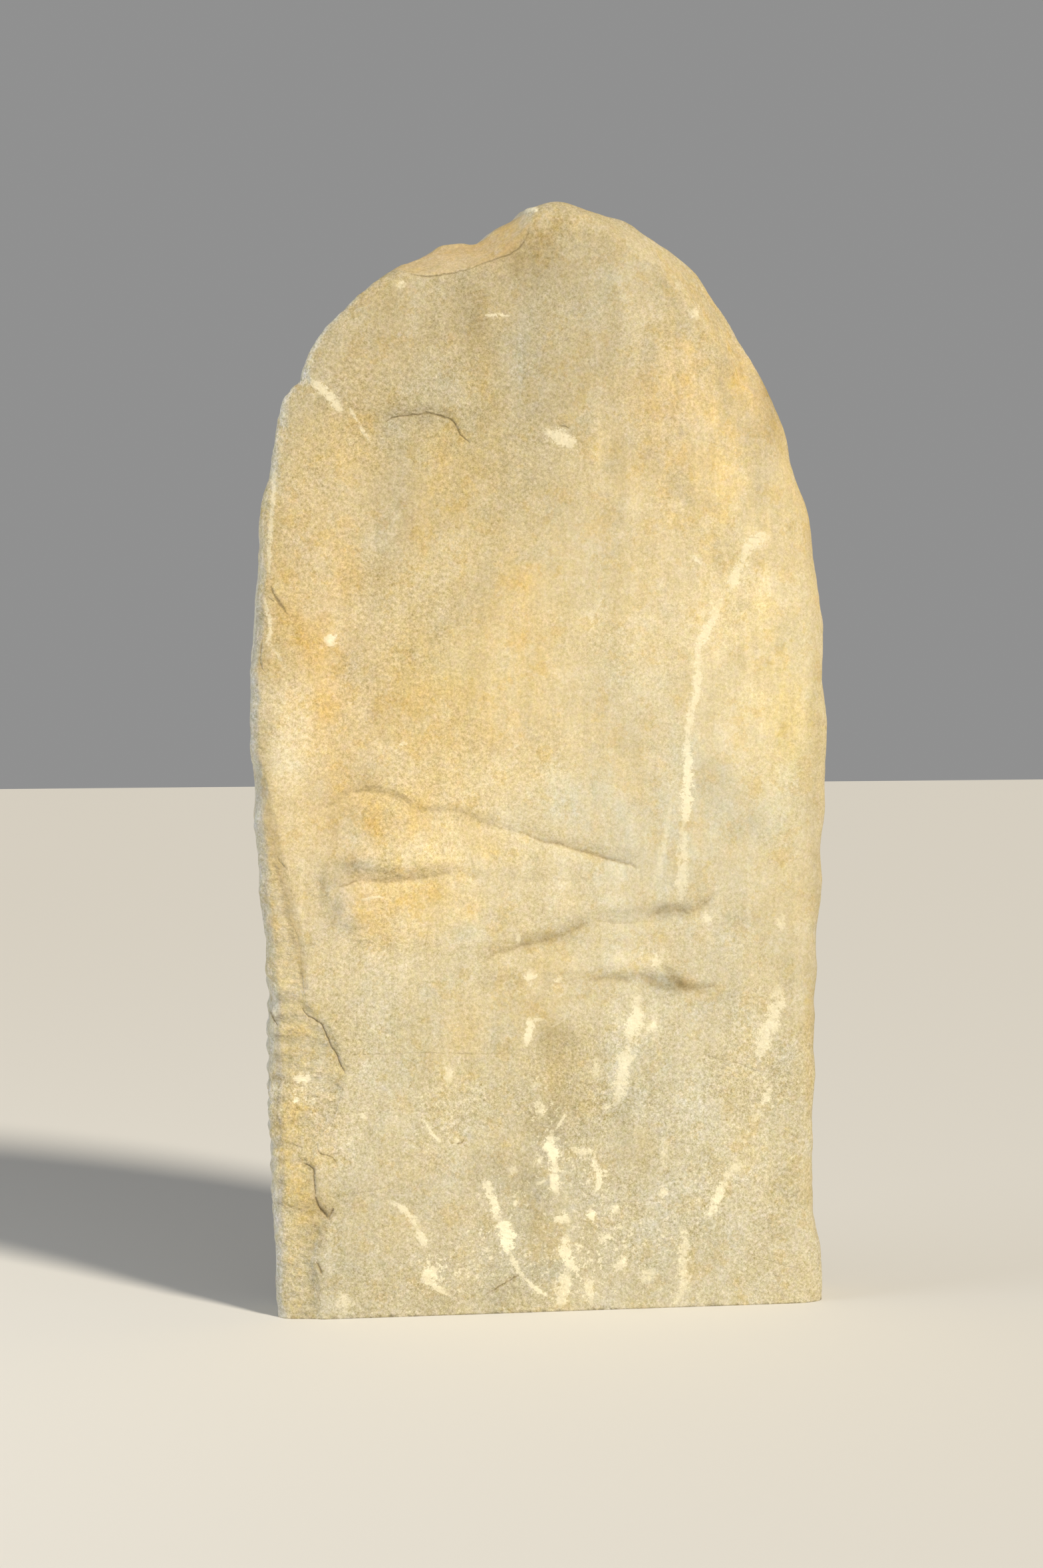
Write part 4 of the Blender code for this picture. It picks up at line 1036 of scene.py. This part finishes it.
        (-0.230, 0.190, 0.040, 0.050, -0.12), (-0.150, 0.190, 0.025, 0.030, 0.10),
        (-0.015, 0.105, 0.010, 0.020, 0.20), (0.115, 0.190, 0.020, 0.030, 0.16),
        (-0.060, 0.100, 0.050, 0.050, -0.07), (0.330, 0.250, 0.015, 0.200, 0.14),
        # broad ones: the head and the rims are ochre, the middle of the right side is grey
        (0.150, 1.060, 0.070, 0.100, 0.15), (0.250, 1.000, 0.040, 0.080, 0.06),
        (0.205, 1.215, 0.022, 0.030, 0.24), (0.237, 1.165, 0.020, 0.035, 0.24),
        (0.264, 1.115, 0.018, 0.035, 0.20), (0.280, 1.075, 0.020, 0.030, 0.14),
        (0.305, 0.990, 0.014, 0.050, 0.16), (0.020, 1.270, 0.040, 0.030, 0.08),
        (-0.250, 0.545, 0.016, 0.012, -0.08), (-0.245, 0.480, 0.012, 0.010, -0.08),
        (0.175, 0.398, 0.014, 0.008, 0.20), (0.140, 0.452, 0.014, 0.012, 0.16),
        (0.125, 0.470, 0.008, 0.006, 0.16), (0.090, 1.250, 0.080, 0.050, 0.06),
        (-0.090, 1.070, 0.035, 0.090, 0.14), (-0.335, 0.950, 0.030, 0.110, 0.16),
        (-0.030, 0.800, 0.035, 0.045, 0.18), (0.020, 0.710, 0.030, 0.040, 0.12),
        (-0.130, 0.585, 0.060, 0.025, 0.12), (-0.090, 0.490, 0.020, 0.020, 0.12),
        (-0.180, 0.460, 0.045, 0.020, 0.12), (-0.320, 0.210, 0.030, 0.060, 0.16),
        (-0.280, 0.230, 0.030, 0.050, 0.10), (-0.130, 0.160, 0.070, 0.110, 0.05),
        (-0.040, 0.350, 0.030, 0.060, 0.05), (0.050, 1.220, 0.050, 0.040, 0.05),
        (-0.280, 0.950, 0.035, 0.050, 0.08), (-0.100, 0.970, 0.045, 0.060, 0.08),
        (-0.060, 0.850, 0.030, 0.080, 0.10), (-0.250, 0.670, 0.035, 0.030, 0.08),
        (-0.140, 0.780, 0.050, 0.030, -0.10), (-0.060, 0.600, 0.040, 0.030, -0.08),
        (0.050, 0.580, 0.025, 0.025, -0.06), (-0.200, 0.520, 0.025, 0.020, -0.08),
        (0.300, 0.640, 0.025, 0.040, -0.12), (-0.270, 0.860, 0.030, 0.030, -0.06),
        (-0.200, 1.160, 0.050, 0.050, 0.06), (0.000, 0.230, 0.080, 0.030, 0.06),
        (-0.240, 0.880, 0.040, 0.050, 0.06), (-0.240, 0.560, 0.040, 0.030, 0.10),
        (-0.280, 0.780, 0.030, 0.120, 0.08), (-0.120, 0.720, 0.100, 0.050, 0.10),
        (-0.150, 0.950, 0.060, 0.040, 0.10), (0.120, 0.680, 0.030, 0.050, 0.08),
        (0.130, 0.800, 0.060, 0.060, 0.06), (-0.240, 0.180, 0.040, 0.060, 0.06),
        (-0.130, 0.320, 0.040, 0.030, 0.06), (0.000, 1.310, 0.060, 0.020, 0.05),
        (0.110, 0.530, 0.130, 0.100, -0.20), (0.180, 0.580, 0.050, 0.040, -0.08),
        (-0.300, 0.670, 0.030, 0.040, -0.08), (-0.200, 0.400, 0.050, 0.040, -0.08),
        (-0.285, 0.110, 0.030, 0.060, -0.12), (0.130, 0.100, 0.090, 0.090, -0.08),
        (0.100, 0.350, 0.070, 0.070, -0.08), (0.060, 1.200, 0.040, 0.060, -0.08),
        (-0.200, 1.235, 0.050, 0.025, 0.16), (0.045, 1.310, 0.030, 0.020, 0.12),
        (0.130, 0.670, 0.022, 0.030, 0.10), (-0.040, 0.740, 0.020, 0.030, 0.07),
        (-0.115, 0.555, 0.020, 0.025, 0.07), (0.080, 0.510, 0.040, 0.020, 0.08),
        (-0.275, 0.140, 0.020, 0.040, 0.10), (0.120, 0.450, 0.030, 0.020, -0.06),
        (-0.060, 0.260, 0.030, 0.020, -0.10),
    ],
}


def paint_stains_and_shade(mesh, patch_lists):
    x, y, z = points_of(mesh)
    face = np.clip(-y / FACE_FADE, 0, 1)
    for name, patches in patch_lists.items():
        amount = np.zeros(len(x))
        for middle_x, middle_z, half_width, half_height, strength in patches:
            across = (x + MIDDLE - middle_x) / half_width
            up = (z - middle_z) / half_height
            amount += strength * np.exp(-(across**2 + up**2))
        mesh.attributes.new(name, "FLOAT", "POINT").data.foreach_set("value", amount * face)
        print(name, "has", len(patches), "patches, from", round(float(amount.min()), 2),
              "to", round(float(amount.max()), 2))
    above = z - np.interp(x + MIDDLE, *SPALL_LIP)
    fresh = np.clip(above / 0.003, 0, 1) * (x < SPALL_LIP[0][-1])
    mesh.attributes.new("fresh", "FLOAT", "POINT").data.foreach_set("value", fresh)
    from_rim = x - left_rim(x, z, FINE_BAND)
    strip = np.clip((np.interp(z, *STRIP) - from_rim) / 0.004, 0, 1)
    mesh.attributes.new("strip", "FLOAT", "POINT").data.foreach_set("value", strip)
    inside = np.interp(z, *BROKEN_EDGE) - x - MIDDLE
    broken = np.clip(inside / 0.005, 0, 1) * np.clip((0.66 - z) / 0.08, 0, 1) * face
    mesh.attributes.new("broken", "FLOAT", "POINT").data.foreach_set("value", broken)


paint_stains_and_shade(stone.data, STAINS_AND_SHADE)

# %% [markdown]
# ## The stone itself
# Fine-grained stone is never one colour: grains of cream, grey and tan a millimetre or two across,
# clouds of the same colours a few centimetres wide, then the stains, the chalk and the dirt over them.
# The material lays them down in that order. Only the base colour, the roughness and the bump change
# over the surface.


# %% Colours
def colour(red, green, blue):
    """A colour given in screen values, 0 to 255, as the linear values that a shader works with."""
    values = [v / 255 for v in (red, green, blue)]
    return (*[v / 12.92 if v <= 0.04045 else ((v + 0.055) / 1.055) ** 2.4 for v in values], 1.0)


FOOT = colour(182, 172, 142)
MIDDLE_STONE = colour(195, 179, 140)
TOP = colour(172, 159, 126)
# The side is greyer and cooler than the face: partly its own stone, partly painted cool light.
SIDE = colour(197, 191, 172)
# painted shade of the side, for the strip beside the left rim
PAINTED_SIDE_SHADE = colour(162, 157, 144)
PALE = colour(216, 206, 174)
CHALK = colour(236, 228, 200)
# The next two are painted shade, with some dirt, for grooves, cracks and hollows.
BROWN = colour(150, 130, 88)
SHADE_AND_DIRT = colour(104, 90, 56)


def blend(factor, below, above, kind="MIX"):
    """Lays one colour over another by the factor, 0 to 1."""
    return node(
        factor.tree, "ShaderNodeMix", {"data_type": "RGBA", "blend_type": kind, "clamp_factor": True},
        {"Factor_Float": factor, "A_Color": below, "B_Color": above},
    )["Result_Color"]


def attribute(tree, name, kind="Fac"):
    return node(tree, "ShaderNodeAttribute", {"attribute_name": name}, {})[kind]


# %% The material
HALF_NET = 0.002  # the distance alone says that much too little or too much between points of the net
# How dark the colour round a line gets, per metre of the line's depth: painted shade in the groove or the
# crack, with some dirt.
DAGGER_BROWN = 170
DAGGER_SHADE_AND_DIRT = (60, 260)  # beside the left rim, and on the rest of the face
CRACK_BROWN = 240


def near_line(tree, label, ragged):
    """1 on the nearest line of a guide and 0 away from it, with a torn edge, and that line's strength."""
    far, half_width, strength = parts_of(attribute(tree, label + " line", "Vector"))
    step = length(attribute(tree, label + " step", "Vector"))
    gap = node(tree, "ShaderNodeMath", {"operation": "MAXIMUM"}, {0: step, 1: far - HALF_NET})
    return gap / half_width + ragged, strength


def dress(material):
    material.use_nodes = True
    tree = material.node_tree
    tree.nodes.clear()
    place = node(tree, "ShaderNodeTexCoord")["Object"]
    x, y, z = parts_of(place)
    turned = node(tree, "ShaderNodeMapping", sockets={"Vector": place, "Rotation": (0.6, 0.9, 0.4)})
    hollow, left_side, _ = parts_of(attribute(tree, "form", "Vector"))

    broad = noise(place, 0.090, 3, 0.5) - 0.5
    grain = noise(turned, 0.0018, 2, 1.0) - 0.5
    mottle = noise(place * (1.0, 1.0, 0.55) + (1.0, 5.0, 0.0), 0.030, 3, 0.8) - 0.5
    streaks = noise(place * (1.0, 1.0, 0.12), 0.014, 3, 0.7) - 0.5
    threads = noise(place * (1.0, 1.0, 0.10) + (3.0, 0.0, 1.0), 0.0040, 2, 0.8) - 0.5
    hues = noise(place * (1.0, 1.0, 0.6) + (5.0, 1.0, 0.0), 0.030, 4, 0.85) - 0.5
    olive = noise(turned + (7.0, 0.0, 3.0), 0.005, 3, 0.9) - 0.5
    dimples = noise(turned + (0.0, 2.0, 7.0), 0.024, 5, 0.55) - 0.5
    sand = noise(turned + (6.0, 2.0, 0.0), 0.0032, 3, 0.5) - 0.5
    lumps = noise(place * (1.0, 1.0, 1.8) + (0.0, 4.0, 0.0), 0.014, 3, 0.6) - 0.5
    torn = noise(place * (1.0, 1.0, 0.5) + (2.0, 0.0, 3.0), 0.030, 4, 0.7) - 0.5
    cream = rise(noise(turned + (2.0, 7.0, 1.0), 0.019, 5, 0.68), 0.54, 0.59)
    ochre = rise(noise(turned + (8.0, 1.0, 4.0), 0.015, 5, 0.68), 0.55, 0.60)
    grey = rise(noise(turned + (3.0, 9.0, 2.0), 0.023, 5, 0.68), 0.55, 0.60)
    rough = 0.85 + 0.35 * rise(noise(turned + (9.0, 5.0, 0.0), 0.060, 4, 0.6), 0.36, 0.64)
    pits = noise(turned + (5.0, 3.0, 0.0), 0.0065, 2, 0.5)
    patchy = 1 + 5.0 * torn + 1.5 * streaks
    rag = noise(turned + (4.0, 0.0, 1.0), 0.0045, 3, 0.9) - 0.5
    specks = noise(turned + (3.0, 0.0, 2.0), 0.0034, 2, 0.8)

    base = blend(rise(z + 0.2 * broad, 0.25, 0.65), FOOT, MIDDLE_STONE)
    base = blend(rise(z + 0.2 * broad, 0.75, 1.20), base, TOP)
    # The side is painted greyer and cooler: partly the stone, partly painted cool light from the left.
    base = blend(left_side, base, SIDE)
    # Painted shade: the strip beside the left rim is painted a darker grey that stands in for the side in
    # shade.
    strip = attribute(tree, "strip") * (1 - left_side)
    base = blend(strip * 0.85, base, PAINTED_SIDE_SHADE)

    foot = rise(z + 0.3 * broad, 0.45, 0.25)
    fresh = attribute(tree, "fresh")
    wear = 0.60 + 0.25 * rise(x, 0.10, -0.20) * (1 - foot) + 0.40 * foot + 0.15 * rise(z, 0.95, 1.10)
    wear = wear * rough * (1 - 0.4 * fresh)
    broken = attribute(tree, "broken") * (1 - left_side) * (1 - strip)
    # The first list brings in its painted shade and highlight too: darker along grooves, the lip crack and
    # the left rim, lighter on ridges beside the daggers.
    stain_and_shade = attribute(tree, "bleach and shade")
    shade_and_grime = rise(stain_and_shade, -0.04, -0.20) * rise(specks, 0.46, 0.62)
    rust = attribute(tree, "iron") * patchy + 0.10 * fresh + (0.05 + 0.5 * lumps) * broken
    light = 1 + stain_and_shade * patchy + 0.1 * rust + 0.06 * fresh + (0.5 * lumps - 0.03) * broken
    rust = rust + 0.13 * ochre - 0.06 * grey - 0.06 * cream
    worn = 1.60 * wear * grain + 0.22 * mottle + 0.20 * streaks + 0.20 * wear * dimples + 0.18 * threads
    worn = worn + 0.050 * cream - 0.045 * grey - 0.035 * ochre - 0.10 * shade_and_grime
    pitted = rise(pits, 0.66, 0.74) * wear
    worn = worn - 0.07 * pitted + 0.06 * rise(pits, 0.34, 0.27)
    red = 1 + 0.12 * rust - 0.05 * olive - attribute(tree, "lime") + 0.03 * fresh
    green = 1 - 0.22 * rust - 0.19 * hues + 0.05 * olive
    blue = 1 - rust - 0.65 * hues - 0.5 * olive
    base = base * vector_of(tree, red, green, blue) * light
    base = base * vector_of(tree, 1 + 0.95 * worn, 1 + worn, 1 + 1.4 * worn)
    chalk = attribute(tree, "chalk")
    crumbs = rise(specks + 0.08 * chalk, 0.62, 0.74) * (0.25 * foot + 0.30 * chalk)
    base = blend(crumbs, base, CHALK)

    front = rise(y, 0.035, 0.015)
    gap, strength = near_line(tree, "mark", rag * 4.5)
    strength = strength * front
    white = rise(gap, 1.15, 0.65) * strength * rise(specks + 0.30 * strength, 0.40, 0.60)
    base = blend(white, base, CHALK)
    base = blend(rise(gap, 2.5, 1.0) * strength * 0.2, base, PALE)

    # Painted shade, with some dirt: each dagger groove is darkened brown across its width, with a darker
    # broken core.
    gap, depth = near_line(tree, "dagger", rag * 2.4)
    depth = depth * front
    base = blend(rise(gap, 1.7, 0.1) * depth * DAGGER_BROWN, base, BROWN)
    core = rise(gap, 0.45, 0.10) * depth * rise(x, -0.300, -0.285, *DAGGER_SHADE_AND_DIRT)
    base = blend(core * rise(specks, 0.40, 0.60), base, SHADE_AND_DIRT)
    # Painted shade, with some dirt: the hollows of the net are darkened brown.
    base = blend(rise(hollow, 0.0002, 0.0014) * 0.5, base, BROWN)
    # Painted shade, with some dirt: a brown halo round each crack and a dark core where its gap is in shade.
    gap, depth = near_line(tree, "crack", rag * 2.6)
    depth = depth * front
    crack = rise(gap, 1.2, 0.2) * rise(depth, 0.0, 0.0010, 0.25, 1.0) * front
    base = blend(rise(gap, 3.5, 0.5) * depth * CRACK_BROWN, base, BROWN)
    base = blend(crack * 0.6 * rise(specks, 0.30, 0.55, 0.35, 1.0), base, SHADE_AND_DIRT)

    relief = (0.0032 * dimples + 0.0017 * sand) * wear + 0.0040 * lumps * broken
    relief = relief + 0.0003 * white - 0.0002 * crack - 0.0002 * pitted
    bump = node(tree, "ShaderNodeBump", sockets={"Height": relief, "Strength": 1.0, "Distance": 1.0})
    shader = node(
        tree, "ShaderNodeBsdfPrincipled",
        sockets={"Base Color": base, "Roughness": 0.9 + 0.3 * mottle, "Normal": bump},
    )
    end = tree.nodes.new("ShaderNodeOutputMaterial")
    tree.links.new(shader.socket, end.inputs["Surface"])
    print("the material has", len(tree.nodes), "nodes")


dress(skin_material)

# %% [markdown]
# ## Joining the part
# The finished skin stands for the construction model, which stays behind it, hidden, and its one material
# slot holds the weathered stone.

# %% Replace the construction model
stone.data.materials.clear()
stone.data.materials.append(skin_material)
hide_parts("stele")
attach(stone, "root")

# %% [markdown]
# ## Studio
# A pale floor, a pale room and one large, slightly warm lamp high on the right and far away, as in a museum
# gallery: so far that it lights the head and the foot alike, which is what a sun lamp does. It comes in at a
# slant, and that makes such low relief readable. A weak cool one fills the left side.


# %% Floor, lights and room
def make_floor():
    bm = bmesh.new()
    bmesh.ops.create_grid(bm, x_segments=1, y_segments=1, size=12)
    mesh = bpy.data.meshes.new("floor")
    bm.to_mesh(mesh)
    bm.free()
    floor = bpy.data.objects.new("floor", mesh)
    scene.collection.objects.link(floor)
    paint = bpy.data.materials.new("pale floor")
    paint.use_nodes = True
    shader = paint.node_tree.nodes["Principled BSDF"]
    shader.inputs["Base Color"].default_value = (0.66, 0.64, 0.60, 1)
    shader.inputs["Roughness"].default_value = 0.9
    mesh.materials.append(paint)


def add_lamp(name, kind, place, aim, size, power, tint):
    lamp = bpy.data.objects.new(name, bpy.data.lights.new(name, kind))
    if kind == "SUN":
        lamp.data.angle = size
    else:
        lamp.data.size = size
    lamp.data.energy = power
    lamp.data.color = tint
    lamp.location = place
    lamp.rotation_euler = (Vector(aim) - Vector(place)).to_track_quat("-Z", "Y").to_euler()
    scene.collection.objects.link(lamp)


make_floor()
add_lamp("key", "SUN", (2.0, -3.4, 3.6), (0, 0, 0.7), math.radians(9), 4.0, (1.0, 0.93, 0.80))
add_lamp("fill", "AREA", (-3.2, -0.8, 1.4), (0, 0, 0.7), 2.0, 45, (0.85, 0.92, 1.0))
room = bpy.data.worlds.new("room")
room.use_nodes = True
room.node_tree.nodes["Background"].inputs["Color"].default_value = (0.80, 0.80, 0.80, 1)
room.node_tree.nodes["Background"].inputs["Strength"].default_value = 0.35
scene.world = room
scene.view_settings.view_transform = "Standard"
